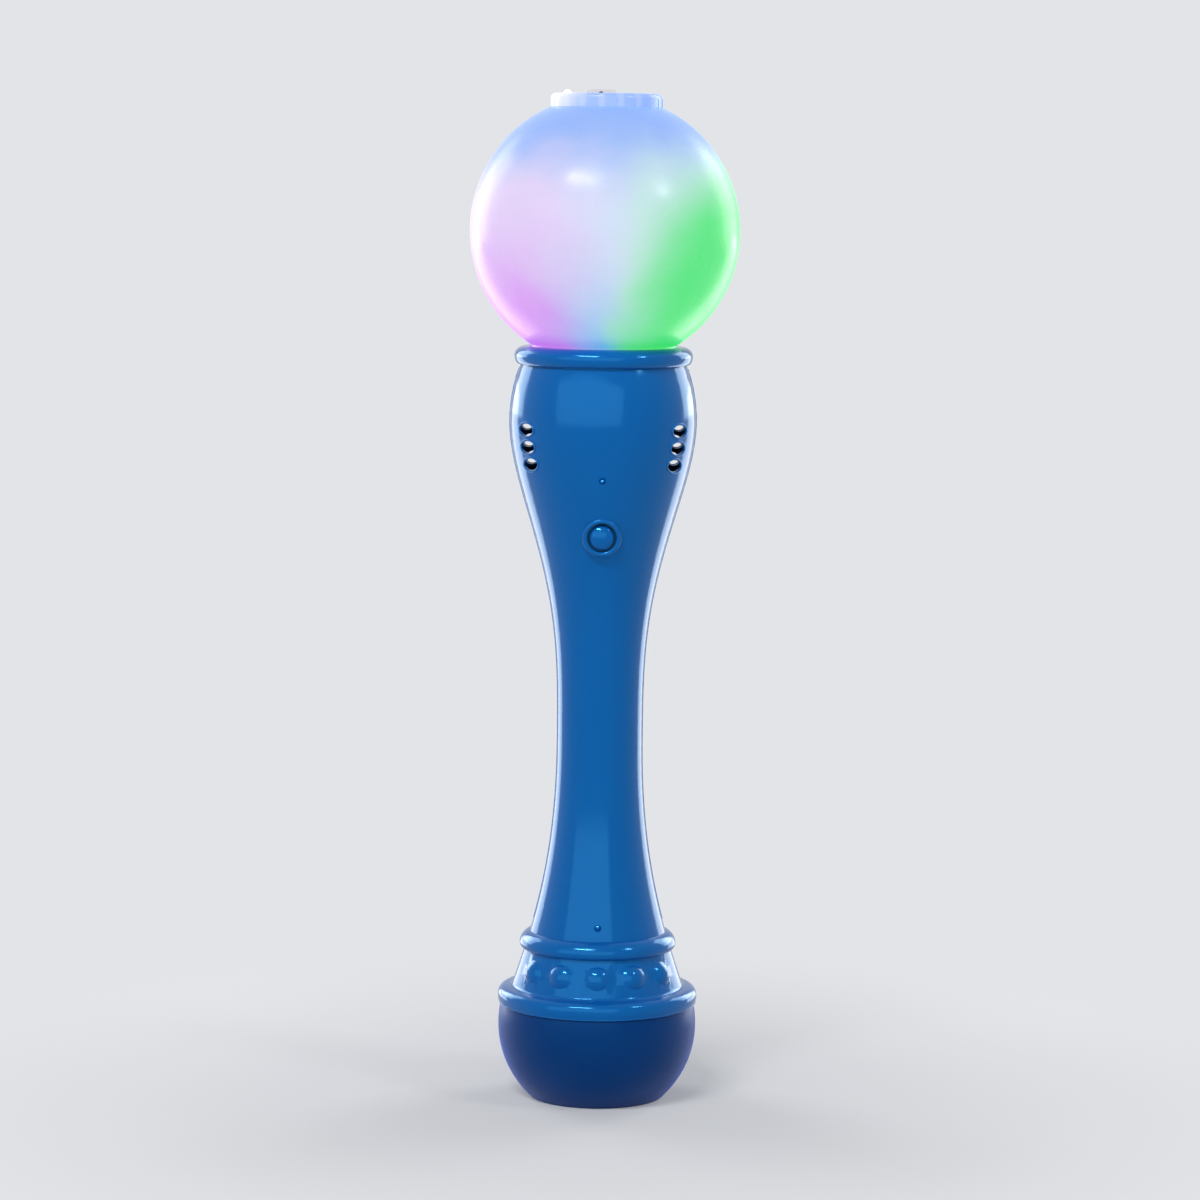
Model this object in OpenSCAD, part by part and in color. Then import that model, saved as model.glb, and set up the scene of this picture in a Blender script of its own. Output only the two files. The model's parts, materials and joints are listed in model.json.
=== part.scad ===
// Light-up bubble wand: a clamshell handle with a blower, a geared roller pump,
// a lit globe on top and a screw-on bubble solution tank at the bottom.
// Millimetres, +Z up, origin on the table at the middle of the base, button towards -Y.

/* [Tank] */
// Radius of the ball that the tank is cut from
tank_r = 33.75; // [32:0.25:36]
// Height of the tank up to its flat shoulder
tank_h = 32; // [28:0.5:36]
// Height of the ball's centre above the table
tank_ball_z = 25; // [22:0.5:27]
// Wall of the tank
tank_wall = 1.8; // [1.2:0.1:2.5]
// Outer radius of the tank's neck
tank_neck_r = 20.6; // [18:0.1:21]
// Height of the neck above the shoulder
tank_neck_h = 7.6; // [6:0.2:8.4]

/* [Base] */
// Radius of the rim that overhangs the tank
rim_r = 34; // [33:0.25:37]
// Height of the rim
rim_h = 5.9; // [5:0.1:8]
// Radius of the flare where it meets the rim
flare_bottom_r = 29.2; // [28.5:0.1:31]
// Radius of the flare under the bead
flare_top_r = 25; // [24.5:0.1:27]
// Height of the flare
flare_h = 13; // [12:0.5:16]
// Radius of the bead above the flare
bead_r = 26.5; // [26:0.1:28]
// Height of the bead
bead_h = 6; // [4:0.5:8]
// Number of studs round the flare, half of them on each shell
stud_count = 10; // [6:2:10]
// Angle between studs
stud_angle = 27.4; // [24:0.2:30]
// Width of a stud
stud_w = 8; // [5:0.2:9]
// Height of a stud
stud_h = 1.4; // [0.6:0.1:2]

/* [Handle] */
// Wall of the two handle shells
wall = 2; // [1.6:0.1:2.4]
// Radius of the handle just above the bead
foot_r = 23.1; // [22:0.1:24]
// Height from the bead up to the waist
foot_len = 67; // [60:1:75]
// Radius of the waist, where the hand closes
waist_r = 14.45; // [13.5:0.05:16]
// Height from the waist up to the widest part of the bowl
bowl_rise = 107.3; // [100:0.5:115]
// Radius of the bowl
bowl_r = 31.5; // [30.5:0.1:34]
// Height from the widest part of the bowl up to the clamp ring
shoulder_len = 18.6; // [17:0.2:22]
// Radius of the bowl under the clamp ring
shoulder_r = 28.1; // [27.9:0.1:29]

/* [Globe] */
// Radius of the globe
globe_r = 45.4; // [42:0.2:50]
// Wall of the globe
globe_wall = 1.6; // [1.2:0.1:2.2]
// Outer radius of the globe's neck
globe_neck_r = 24.6; // [24:0.1:25]
// Radius of the clamp ring
ring_r = 30.1; // [29.5:0.1:32]
// Height of the clamp ring
ring_h = 6.1; // [5:0.1:8]

/* [Nozzle] */
// Radius of the nozzle collar
nozzle_r = 18.6; // [18:0.1:20]
// Height of the collar
nozzle_h = 4.5; // [4:0.1:6]
// Radius of the nozzle's bore
nozzle_bore_r = 12.4; // [12.2:0.1:12.8]
// Number of ribs round the collar
nozzle_ribs = 18; // [12:1:24]
// Width of the feed spout
spout_w = 9.9; // [7:0.1:12]
// Height of the spout above the collar
spout_rise = 1.4; // [1:0.1:3]

/* [Button] */
// Radius of the button
button_r = 4.35; // [3.5:0.05:5]
// Travel of the button
button_travel = 1; // [0.5:0.1:1.2]
// Radius of the raised ring round the button
bezel_r = 6.6; // [6:0.1:8]
// Distance of the button below the widest part of the bowl
button_drop = 37.5; // [35:0.5:40]

/* [Vents] */
// Radius of a vent hole
vent_r = 2.2; // [1.5:0.1:2.6]
// Distance between vent holes
vent_pitch = 5.8; // [5.4:0.1:6.5]

/* [Batteries] */
// Radius of a cell
cell_r = 7.1; // [7:0.05:7.2]
// Length of a cell
cell_len = 50.5; // [49.5:0.1:51]
// Width of the battery door
door_w = 16; // [15:0.5:17]

/* [Blower] */
// Radius of the motor can
motor_r = 10; // [9.5:0.1:10.5]
// Width of the motor can across its flats
motor_flat = 15.1; // [14:0.1:16]
// Length of the motor can
can_len = 20.5; // [19:0.1:22]
// Radius of the motor shaft
shaft_r = 1; // [0.9:0.05:1.1]
// Radius of the impeller
impeller_r = 15.5; // [14:0.1:16]
// Number of impeller vanes
vane_count = 9; // [5:1:11]
// Height of the fan housing
fan_h = 12.4; // [12:0.2:13.4]

/* [Gears] */
// Module of the gear teeth
gear_module = 0.5; // [0.48:0.01:0.52]
// Teeth on each pinion
pinion_teeth = 10; // [10:1:11]
// Teeth on each wheel
wheel_teeth = 30; // [28:1:30]
// Thickness of the wheels
gear_t = 3; // [2.4:0.1:3.2]

/* [Pump] */
// Radius of the pump's track
track_r = 10.9; // [10.6:0.1:11.2]
// Number of rollers
roller_count = 3; // [2:1:3]
// Outer radius of the tubing
tube_r = 1.75; // [1.5:0.05:1.8]

/* [Fasteners] */
// Radius of the screw shanks
screw_r = 1.15; // [0.9:0.05:1.25]
// Radius of the screw heads
screw_head_r = 2.3; // [2:0.1:2.4]

/* [Hidden] */
$fn = 96;

// Clearances and small sizes that several pieces share
overrun = 1;
reach = 60;
seat_gap = 0.15;
fit = 0.2;
hang_gap = 0.3;
run_fit = 0.05;
rib_t = 1.4;
flange_t = 1.5;

// Outline of the handle, from the rim up to the clamp ring
rim_z = tank_h + hang_gap;
rim_top_z = rim_z + rim_h;
bead_z = rim_top_z + flare_h;
foot_z = bead_z + bead_h;
waist_z = foot_z + foot_len;
cell_count = 2;
usual_cell_len = 50.5;
bowl_len = bowl_rise + cell_count * max(cell_len - usual_cell_len, 0);
bowl_z = waist_z + bowl_len;
shoulder_z = bowl_z + shoulder_len;
foot_power = 2.25;
bowl_power = 1.58;
ring_power = 0.8;
ring_crown = 3.8;
outline_steps = 44;
arc_step = 15;

function smooth(u) = u * u * (3 - 2 * u);
function mix(a, b, t) = a + (b - a) * t;
function flare_r(z) = mix(flare_bottom_r, flare_top_r, (z - rim_top_z) / flare_h);
function foot_curve(z) = mix(waist_r, foot_r, pow((waist_z - z) / foot_len, foot_power));
function bowl_curve(z) = mix(waist_r, bowl_r, smooth(pow((z - waist_z) / bowl_len, bowl_power)));
function shoulder_curve(z) = mix(bowl_r, shoulder_r, pow((z - bowl_z) / shoulder_len, 2));
function body_r(z) =
    z < bead_z ? flare_r(z) :
    z < foot_z ? mix(flare_top_r, foot_r, (z - bead_z) / bead_h) :
    z < waist_z ? foot_curve(z) :
    z < bowl_z ? bowl_curve(z) : shoulder_curve(z);
function inner_r(z) = body_r(z) - wall;

// Stack at the top of the handle: shell neck, globe flange, fan flange, ledge
neck_grip = 1.8;
seat_z = shoulder_z - neck_grip;
neck_out_r = shoulder_r - hang_gap;
neck_in_r = globe_neck_r + hang_gap;
ring_z = shoulder_z + hang_gap;
ring_top_z = ring_z + ring_h;
neck_top_z = ring_top_z - flange_t - fit;
flange_grip = 1.8;
flange_r = neck_in_r + flange_grip;
globe_flange_z = seat_z - fit - flange_t;
fan_top_z = globe_flange_z - fit;
fan_flange_z = fan_top_z - flange_t;
ledge_z = fan_flange_z - fit - rib_t;
ledge_r = flange_r - flange_grip;

// Globe and nozzle
neck_show = 0.45;
globe_z = ring_top_z + neck_show + sqrt(globe_r * globe_r - globe_neck_r * globe_neck_r);
nozzle_z = globe_z + sqrt(globe_r * globe_r - nozzle_r * nozzle_r);
nozzle_top_z = nozzle_z + nozzle_h;
nozzle_round = 1.6;
spigot_wall = 4.1;
spigot_h = 5.5;
spigot_r = nozzle_bore_r + spigot_wall;
spigot_z = nozzle_z - spigot_h;
rib_w = 0.8;
rib_proud = 0.25;
tooth_w = 0.9;
tooth_depth = 1.3;
tooth_drop = 0.8;
duct_wall = 1.3;
duct_gap = 1;
duct_r = nozzle_bore_r - hang_gap;
duct_top_z = nozzle_z - duct_gap;
tooth_z = duct_top_z + hang_gap;

// Tank, its socket and its seal
cap_skirt_t = 2;
cap_plate_t = 2;
cap_flange_w = 1.9;
cap_room = 0.65;
gasket_t = 1.7;
neck_lip_z = tank_h + tank_neck_h;
gasket_z = neck_lip_z + seat_gap;
cap_z = gasket_z + gasket_t + seat_gap;
cap_top_z = cap_z + cap_plate_t;
cap_bore_r = tank_neck_r + hang_gap;
cap_skirt_r = cap_bore_r + cap_skirt_t;
cap_flange_r = flare_r(cap_top_z) - wall - cap_room;
cap_skirt_z = rim_z + hang_gap;
dip_gap = 2.7;
dip_end_z = tank_wall + dip_gap;

// Battery room
tray_wall = 1.2;
cell_room = 1;
tray_drop = 3;
spring_h = 6;
contact_t = 0.5;
contact_r = 5;
tray_in_r = cell_r + hang_gap;
tray_r = tray_in_r + tray_wall;
cell_y = waist_r - wall - cell_r - cell_room;
tray_z = foot_z - tray_drop;
spring_z = tray_z + tray_wall + seat_gap;
cell_z = spring_z + spring_h + seat_gap;
cell_top_z = cell_z + cell_count * cell_len;
contact_z = cell_top_z + seat_gap;
tray_top_z = contact_z + contact_t + seat_gap + tray_wall;
tray_side_share = 0.1;
cell_nub_r = 2.7;
cell_nub_h = 1.2;
spring_r = 5;
spring_top_r = 3.6;
spring_wire_r = 0.4;
spring_turns = 4;
spring_rings = 8;
spring_sides = 6;
cradle_shares = [0.23, 0.63, 0.94];
cradle_zs = [for (s = cradle_shares) mix(tray_z, tray_top_z, s)];

// Battery door
door_gap = 0.25;
door_sill = 1;
door_head = 8;
door_z = foot_z + door_sill;
door_top_z = tray_top_z + door_head;
door_screw_z = tray_top_z + door_head / 2;
door_boss_wall = 1.1;
door_boss_h = 2.2;
door_boss_r = screw_head_r + door_boss_wall;
door_boss_y = inner_r(door_screw_z) - door_boss_h;
door_tab_w = 8;
door_tab_drop = 3;
door_tab_t = 1.6;
door_tab_web = 2.6;
door_tab_y = sqrt(pow(inner_r(door_z), 2) - pow(door_tab_w / 2, 2)) - hang_gap;
tray_boss_wall = 1.2;
tray_boss_room = 0.65;
tray_boss_r = screw_r + tray_boss_room + tray_boss_wall;
tray_boss_end_y = door_boss_y - hang_gap;

// Screws
boss_wall = 2.2;
boss_r = screw_r + boss_wall;
boss_inset = 1.3;
head_t = 1.7;
head_room = 0.4;
head_y = 4.5;
head_sink = 0.3;
pilot_depth = 8;
screw_len = 11;
small_screw_r = 0.8;
small_head_r = 1.6;
small_head_t = 1.2;
small_screw_len = 6;
boss_foot = 4.8;
boss_drop = 23.5;
boss_rise = 9;
boss_zs = [foot_z + boss_foot, bowl_z - boss_drop, bowl_z + boss_rise];
door_seat_y = body_r(door_screw_z) - head_t - head_sink;
door_screw_len = 7;
function boss_x(z) = inner_r(z) - boss_r - boss_inset;

// Button and switch
button_z = bowl_z - button_drop;
button_gap = 0.6;
button_bore_r = button_r + button_gap;
bezel_tilt = 9;
bezel_h = 1.5;
bezel_root = 2.4;
bezel_y = body_r(button_z);
bezel_over = 0.25;
bezel_round = (bezel_r - button_bore_r + bezel_over) / 2;
button_proud = 1.1;
button_face_y = bezel_y + bezel_h + button_proud;
button_round = 0.9;
button_dome = 0.35;
dome_shares = [0.75, 0.5, 0.25, 0];
button_lip = 1;
button_flange_r = button_bore_r + button_lip;
button_flange_t = 1.2;
sleeve_wall = 1.3;
sleeve_inset = 1.4;
sleeve_end_y = inner_r(button_z - button_flange_r) - sleeve_inset;
button_flange_y = sleeve_end_y - fit;
button_back_y = button_flange_y - button_flange_t;
switch_side = 6;
switch_h = 3.4;
plunger_r = 1.7;
plunger_len = 2.8;
plunger_spare = 0.5;
plunger_show = button_travel + plunger_spare;
switch_y = button_back_y - plunger_show;
board_t = 1.6;
board_w = 15;
board_drop = 4.7;
board_rise = 13;
board_y = switch_y - switch_h;
board_back_y = board_y - board_t;
board_z = button_z - board_drop;
board_top_z = button_z + board_rise;
board_edge = 2.6;
board_post_r = 2.2;
board_screw_x = board_w / 2 - board_edge;
board_screw_z = board_top_z - board_edge;

// Marks that the moulding gates leave on the front
gate_r = 1.4;
gate_depth = 0.7;
gate_nub_r = 0.7;
gate_drop = 18.5;
gate_rise = 4.6;
gate_zs = [bowl_z - gate_drop, foot_z + gate_rise];

// Vents
vent_drop = 8;
vent_inset = 6;
vent_z = bowl_z - vent_drop;
vent_rows = [-1, 0, 1];

// Blower, motor and shaft
fan_wall = 1.4;
fan_floor_t = 1.5;
fan_room = 1.8;
fan_in_r = impeller_r + fan_room;
fan_r = fan_in_r + fan_wall;
fan_floor_z = fan_top_z - fan_h;
eye_r = 9.5;
inlet_gap = 3.5;
motor_top_z = fan_floor_z - inlet_gap;
can_z = motor_top_z - can_len;
end_cap_len = 4.6;
motor_z = can_z - end_cap_len;
motor_boss_r = 3;
motor_boss_h = 1.5;
cup_wall = 1.4;
cup_h = 9;
window_w = 11;
cup_r = motor_r + fit;
cup_z = motor_top_z - cup_h;
impeller_gap = 1;
impeller_sink = 2;
back_plate_t = 1;
impeller_z = fan_floor_z + fan_floor_t + impeller_gap;
impeller_top_z = fan_top_z - impeller_sink;
hub_r = 3;
vane_t = 0.9;
vane_curve_r = 10;
vane_root_r = 5.5;
duct_cone_h = 10;
duct_step = 2.4;
duct_flange_z = fan_top_z + fit;
led_seat_z = duct_flange_z + flange_t + duct_cone_h;

// Gear train: its wheels stand on three axes, at the corners of an equal-sided triangle
pressure_angle = 20;
pinion_shift = 0.4;
gear_play = 0.16;
gear_gap = 0.5;
dedendum = 1.25;
flank_steps = 3;
axis_d = gear_module * (pinion_teeth + wheel_teeth) / 2;
first_angle = 120;
second_angle = 60;
first_axis = axis_d * [cos(first_angle), sin(first_angle), 0];
second_axis = axis_d * [cos(second_angle), sin(second_angle), 0];
frame_t = 2;
frame_drop = 3;
frame_top_z = motor_z - frame_drop;
frame_z = frame_top_z - frame_t;
level_step = gear_t + gear_gap;
first_z = frame_z - level_step;
second_z = first_z - level_step;
third_z = second_z - level_step;
frame_room = 2;
frame_grip = 1.4;
frame_r = inner_r(frame_z) - frame_room;
frame_front_y = 8.6;

// Roller pump
pump_wall = 1.5;
pump_h = 11;
pump_gap = 1;
pump_r = track_r + pump_wall;
pump_top_z = third_z - pump_gap;
pump_z = pump_top_z - pump_h;
pump_floor_z = pump_z + pump_wall;
flat_tube_t = 2.3;
flat_tube_h = 5;
flat_tube_rise = 4.2;
flat_tube_r = track_r - seat_gap - flat_tube_t / 2;
tube_mid_z = pump_floor_z + flat_tube_rise;
tube_top_z = tube_mid_z + flat_tube_h / 2;
pump_start = -50;
pump_sweep = 220;
roller_r = 2.5;
roller_h = 5.6;
roller_gap = 1;
roller_pin_r = 1;
roller_rim = 0.7;
roller_z = pump_floor_z + roller_gap;
roller_orbit = flat_tube_r - flat_tube_t / 2 - hang_gap - roller_r;
rotor_t = 1.8;
rotor_z = roller_z + roller_h + fit;
rotor_r = roller_orbit + roller_pin_r + roller_rim;
post_r = 1.9;
post_out = 1;
post_angles = [0, 215, 325];
post_orbit = pump_r - post_r + post_out;

// Tubing
tube_bore_r = 0.9;
tube_room = 0.75;
run_angle = 292;
run_r = waist_r - wall - tube_r - tube_room;
run_place = run_r * [cos(run_angle), sin(run_angle), 0];
fitting_r = 1.4;
fitting_drop = 3;
exit_half = 1.9;
exit_room = 2.6;
riser_x = pump_r + exit_room;
riser_y = 1;
stub_h = 4;
stub_r = tube_bore_r - run_fit;
tube_up_angle = 133;
tube_up_r = fan_r + tube_r + fit;
tube_up = tube_up_r * [cos(tube_up_angle), sin(tube_up_angle), 0];
spout_x = 1.8;
spout_stem_r = nozzle_bore_r + spigot_wall / 2;
spout_y = sqrt(spout_stem_r * spout_stem_r - spout_x * spout_x);
spout_bore_r = 0.8;
spout_front = 4.6;
spout_back = 2.4;

// Lights
led_r = 2.5;
led_h = 8.6;
led_flange_r = 2.9;
led_flange_h = 1;
led_board_t = 1.6;
led_board_gap = 0.6;
led_orbit_share = 0.53;
led_board_r = globe_neck_r - globe_wall - led_board_gap;
led_z = led_seat_z + led_board_t + seat_gap;
led_orbit = mix(duct_r, led_board_r, led_orbit_share);
violet_angle = 185;
blue_angle = 270;
green_angle = 355;
nozzle_led_r = 1.5;
nozzle_led_angle = 206;
nozzle_led_rise = 1;
nozzle_led_place = spout_stem_r * [cos(nozzle_led_angle), sin(nozzle_led_angle), 0];

// Wires
wire_r = 0.6;
wire_sides = 8;
lead_room = 1.4;
lead_stub = 1;
lead_x = 3.5;
lead_y = fan_r + wire_r + lead_room;
lead_half = 1;
lead_hole_r = 2;
motor_lead_x = 2.5;
battery_lead_x = 5;
battery_lead_y = 3;
battery_lead_drop = 1.5;

// Routes of the tubing and the wires, as shares of the way between the pieces that they join
climb_shares = [[0.12, 0.2], [0.44, 0.4], [0.8, 0.68], [1, 0.94]];
globe_shares = [[0.13, 0.2], [0.42, 0.47], [0.82, 0.76], [1, 0.92]];
delivery_route = concat(
    [
        [-riser_x, -riser_y, tube_top_z + seat_gap],
        [-riser_x, -riser_y, third_z],
        [-riser_x, -riser_y, frame_top_z]
    ],
    [
        for (s = climb_shares)
            mix([-riser_x, -riser_y, 0], tube_up, s[0]) + [0, 0, mix(frame_top_z, fan_floor_z, s[1])]
    ],
    [tube_up + [0, 0, fan_top_z], tube_up + [0, 0, led_z]],
    [
        for (s = globe_shares)
            mix(tube_up, [-spout_x, spout_y, 0], s[0]) + [0, 0, mix(led_z, spigot_z, s[1])]
    ],
    [[-spout_x, spout_y, spigot_z - seat_gap]]
);
battery_shares = [[0.45, 0.4], [0.9, 0.78]];
pump_pass_shares = [0.2, 0.75];
board_shares = [0.5, 0.3];
pump_pass_y = pump_r + wire_r + lead_room;
battery_lead_z = button_z - battery_lead_drop;
battery_route = concat(
    [
        [-battery_lead_x, -battery_lead_y, tray_top_z + seat_gap],
        [-battery_lead_x, -battery_lead_y, tray_top_z + seat_gap + lead_stub]
    ],
    [
        for (s = battery_shares)
            [-battery_lead_x, -mix(battery_lead_y, pump_pass_y, s[0]), mix(tray_top_z, pump_z, s[1])]
    ],
    [for (s = pump_pass_shares) [-battery_lead_x, -pump_pass_y, mix(pump_z, pump_top_z, s)]],
    [
        [
            -battery_lead_x, -mix(board_y, pump_pass_y, board_shares[0]),
            mix(pump_top_z, battery_lead_z, board_shares[1])
        ],
        [-battery_lead_x, -board_y - seat_gap - lead_stub, battery_lead_z],
        [-battery_lead_x, -board_y - seat_gap, battery_lead_z]
    ]
);
motor_lead_share = 0.78;
motor_lead_z = mix(motor_z, can_z, motor_lead_share);
board_mid_y = board_y - board_t / 2;
motor_route = [
    [-motor_lead_x, -board_mid_y, board_top_z + seat_gap],
    [-motor_lead_x, -board_mid_y, board_top_z + seat_gap + lead_stub],
    [-motor_lead_x, -motor_flat / 2 - seat_gap - lead_stub, motor_lead_z],
    [-motor_lead_x, -motor_flat / 2 - seat_gap, motor_lead_z]
];
led_shares = [[0.25, 0.16], [0.6, 0.35], [1, 0.7]];
led_route = concat(
    [
        [lead_x, -board_mid_y, board_top_z + seat_gap],
        [lead_x, -board_mid_y, board_top_z + seat_gap + lead_stub]
    ],
    [for (s = led_shares) [lead_x, -mix(board_y, lead_y, s[0]), mix(board_top_z, fan_floor_z, s[1])]],
    [[lead_x, -lead_y, fan_flange_z], [lead_x, -lead_y, led_seat_z - seat_gap]]
);
nozzle_route = [
    for (z = [led_z, led_z + lead_stub, spigot_z - seat_gap - lead_stub, spigot_z - seat_gap])
        nozzle_led_place + [0, 0, z]
];
route_steps = 4;

// Colours
shell_blue = "royalblue";
tank_blue = "dodgerblue";
milk = "whitesmoke";
steel = "silver";
nylon = "ivory";
rubber = "dimgray";
board_green = "seagreen";
clear_tube = "lightcyan";

// Helpers for outlines, tubes and gear teeth
function reversed(list) = [for (i = [len(list) - 1 : -1 : 0]) list[i]];
function skin(inset) = [
    for (i = [0 : outline_steps])
        let (z = mix(foot_z, seat_z, i / outline_steps))
        [body_r(z) - inset, z]
];
function unit(v) = v / norm(v);
function blend(a, b, c, d, t) = (2 * b + (c - a) * t + (2 * a - 5 * b + 4 * c - d) * t * t
    + (3 * b - a - 3 * c + d) * t * t * t) / 2;
function curve(p, n) = let (last = len(p) - 1) [
    for (i = [0 : last - 1])
        for (k = [0 : n - 1])
            blend(p[max(i - 1, 0)], p[i], p[i + 1], p[min(i + 2, last)], k / n),
    p[last]
];
function path(route) = let (last = len(route) - 1)
    concat([route[0]], curve([for (i = [1 : last - 1]) route[i]], route_steps), [route[last]]);
function tangent(p, i) = unit(p[min(i + 1, len(p) - 1)] - p[max(i - 1, 0)]);
function ring_at(p, t, r, sides, up) = let (u = unit(cross(t, up)), v = cross(u, t))
    [for (k = [0 : sides - 1]) p + r * (cos(360 * k / sides) * u + sin(360 * k / sides) * v)];
function arc_down(r, z, round) = [
    for (a = [0 : arc_step : 90])
        [r - round * (1 - cos(a)), z - round * (1 - sin(a))]
];
function involute(a) = tan(a) * 180 / PI - a;
function tooth_half(teeth, shift, r) =
    let (pitch_r = gear_module * teeth / 2, base_r = pitch_r * cos(pressure_angle))
    (gear_module * (PI / 2 + 2 * shift * tan(pressure_angle)) - gear_play / 2) / (2 * pitch_r) * 180 / PI
    + involute(pressure_angle) - involute(acos(min(base_r / r, 1)));
function gear_points(teeth, shift) =
    let (
        pitch_r = gear_module * teeth / 2,
        base_r = pitch_r * cos(pressure_angle),
        root_r = pitch_r - gear_module * (dedendum - shift),
        tip_r = pitch_r + gear_module * (1 + shift),
        start_r = max(base_r, root_r),
        rise = [for (k = [0 : flank_steps]) mix(start_r, tip_r, k / flank_steps)],
        flank = concat([[root_r, start_r]], [for (r = rise) [r, r]])
    )
    [
        for (k = [0 : teeth - 1])
            for (side = [-1, 1])
                for (p = side < 0 ? flank : reversed(flank))
                    let (a = 360 * k / teeth + side * tooth_half(teeth, shift, p[1]))
                    p[0] * [cos(a), sin(a)]
    ];

module sweep(p, r, sides, up) {
    rings = [for (i = [0 : len(p) - 1]) each ring_at(p[i], tangent(p, i), r, sides, up)];
    last = (len(p) - 1) * sides;
    side_faces = [
        for (i = [0 : len(p) - 2])
            for (k = [0 : sides - 1])
                let (a = i * sides + k, b = i * sides + (k + 1) % sides)
                each [[a, b, b + sides], [a, b + sides, a + sides]]
    ];
    caps = [
        [for (k = [sides - 1 : -1 : 0]) k],
        [for (k = [0 : sides - 1]) last + k]
    ];
    polyhedron(rings, concat(side_faces, caps));
}
module wire(route) {
    sweep(path(route), wire_r, wire_sides, [1, 0, 0]);
}
module disc(z0, z1, r) {
    translate([0, 0, z0])
        cylinder(h = z1 - z0, r = r);
}
module pipe(z0, z1, r, bore) {
    difference() {
        disc(z0, z1, r);
        disc(z0 - overrun, z1 + overrun, bore);
    }
}
module rod(y0, y1, r) {
    translate([0, y0, 0])
        rotate([-90, 0, 0])
            cylinder(h = y1 - y0, r = r);
}
module block(x0, x1, y0, y1, z0, z1) {
    translate([x0, y0, z0])
        cube([x1 - x0, y1 - y0, z1 - z0]);
}
module spur(teeth, shift, toward, h, bore) {
    rotate(toward)
        linear_extrude(h)
            difference() {
                polygon(gear_points(teeth, shift));
                circle(bore);
            }
}
module pinion(toward, h) {
    spur(pinion_teeth, pinion_shift, toward, h, shaft_r + run_fit);
}
module wheel(toward, h) {
    spur(wheel_teeth, -pinion_shift, toward + 180 / wheel_teeth, h, shaft_r + run_fit);
}
module ring_rib(z, r) {
    rotate_extrude(angle = 180)
        translate([r, z])
            square([body_r(z) - wall / 2 - r, rib_t]);
}
module core() {
    rotate_extrude()
        polygon(concat([[0, foot_z]], skin(wall / 2), [[0, seat_z]]));
}

// Handle shells
bead_mid_r = (flare_top_r + foot_r) / 2;
flare_tilt = atan((flare_bottom_r - flare_top_r) / flare_h);
rim_belly_share = 0.42;
rim_tuck = 0.7;
rim_power = 0.78;
rim_belly_z = mix(rim_z, rim_top_z, rim_belly_share);
flare_fillet = 1.4;
fillet_shares = [0.25, 0.5, 0.75, 1];
fillet_r = flare_bottom_r + flare_fillet * (1 / cos(flare_tilt) - tan(flare_tilt));
rim_points = concat(
    [[rim_r - wall, rim_z]],
    [
        for (a = [0 : arc_step : 90 - arc_step])
            [rim_r - rim_tuck * (1 - sin(a)), mix(rim_belly_z, rim_z, cos(a))]
    ],
    [
        for (a = [0 : arc_step : 90])
            [mix(fillet_r, rim_r, pow(cos(a), rim_power)), mix(rim_belly_z, rim_top_z, pow(sin(a), rim_power))]
    ],
    [
        for (s = fillet_shares)
            let (a = s * (90 - flare_tilt))
            [fillet_r - flare_fillet * sin(a), rim_top_z + flare_fillet * (1 - cos(a))]
    ]
);
bead_points = [
    for (a = [0 : arc_step : 180 - arc_step])
        let (t = (1 - cos(a)) / 2)
        [mix(flare_top_r, foot_r, t) + (bead_r - bead_mid_r) * sin(a), mix(bead_z, foot_z, t)]
];
top_points = [
    [shoulder_r, shoulder_z], [neck_out_r, shoulder_z], [neck_out_r, neck_top_z],
    [neck_in_r, neck_top_z], [neck_in_r, seat_z]
];
base_points = [
    [flare_top_r - wall, bead_z], [flare_bottom_r - wall, rim_top_z - wall], [rim_r - wall, rim_top_z - wall]
];
stud_share = 0.55;
stud_z = mix(rim_top_z, bead_z, stud_share);
stud_ball_r = (stud_w * stud_w / 4 + stud_h * stud_h) / (2 * stud_h);
lip_t = 0.9;
lip_back = 0.4;
lip_angle = 4;
lip_root_angle = 3;
lip_room_angle = 0.6;
lip_end = 1.5;
lip_low_z = foot_z + lip_end;
lip_high_z = ledge_z - lip_end;
function lip_side(inset) = concat(
    [[body_r(lip_low_z) - inset, lip_low_z]],
    [for (p = skin(inset)) if (p[1] > lip_low_z && p[1] < lip_high_z) p],
    [[body_r(lip_high_z) - inset, lip_high_z]]
);

module half_wall() {
    rotate_extrude(angle = 180)
        polygon(concat(rim_points, bead_points, skin(0), top_points, reversed(skin(wall)), base_points));
}
module studs() {
    sink = stud_ball_r - stud_h;
    difference() {
        for (k = [1 : stud_count / 2])
            rotate(90 + (k - (stud_count / 2 + 1) / 2) * stud_angle)
                translate([flare_r(stud_z) - sink * cos(flare_tilt), 0, stud_z - sink * sin(flare_tilt)])
                    sphere(r = stud_ball_r);
        rotate_extrude()
            polygon([
                [0, rim_z], [flare_r(rim_z) - wall / 2, rim_z],
                [flare_r(foot_z) - wall / 2, foot_z], [0, foot_z]
            ]);
    }
}
module vents() {
    for (row = vent_rows)
        for (side = [-1, 1])
            let (z = vent_z + row * vent_pitch)
                translate([side * (body_r(z) - vent_inset), 0, z])
                    rod(0, reach, vent_r);
}
module half_shell() {
    difference() {
        union() {
            half_wall();
            studs();
            ring_rib(ledge_z, ledge_r);
            ring_rib(frame_z - fit - rib_t, frame_r - frame_grip);
            ring_rib(frame_top_z + fit, frame_r - frame_grip);
            ring_rib(cap_z - fit - rib_t, cap_skirt_r + hang_gap);
            ring_rib(cap_top_z + fit, cap_flange_r - cap_flange_w);
        }
        vents();
    }
}
module cradle() {
    for (z = cradle_zs)
        rotate_extrude(angle = 180)
            translate([0, z])
                square([body_r(z) - wall / 2, rib_t]);
}
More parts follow.
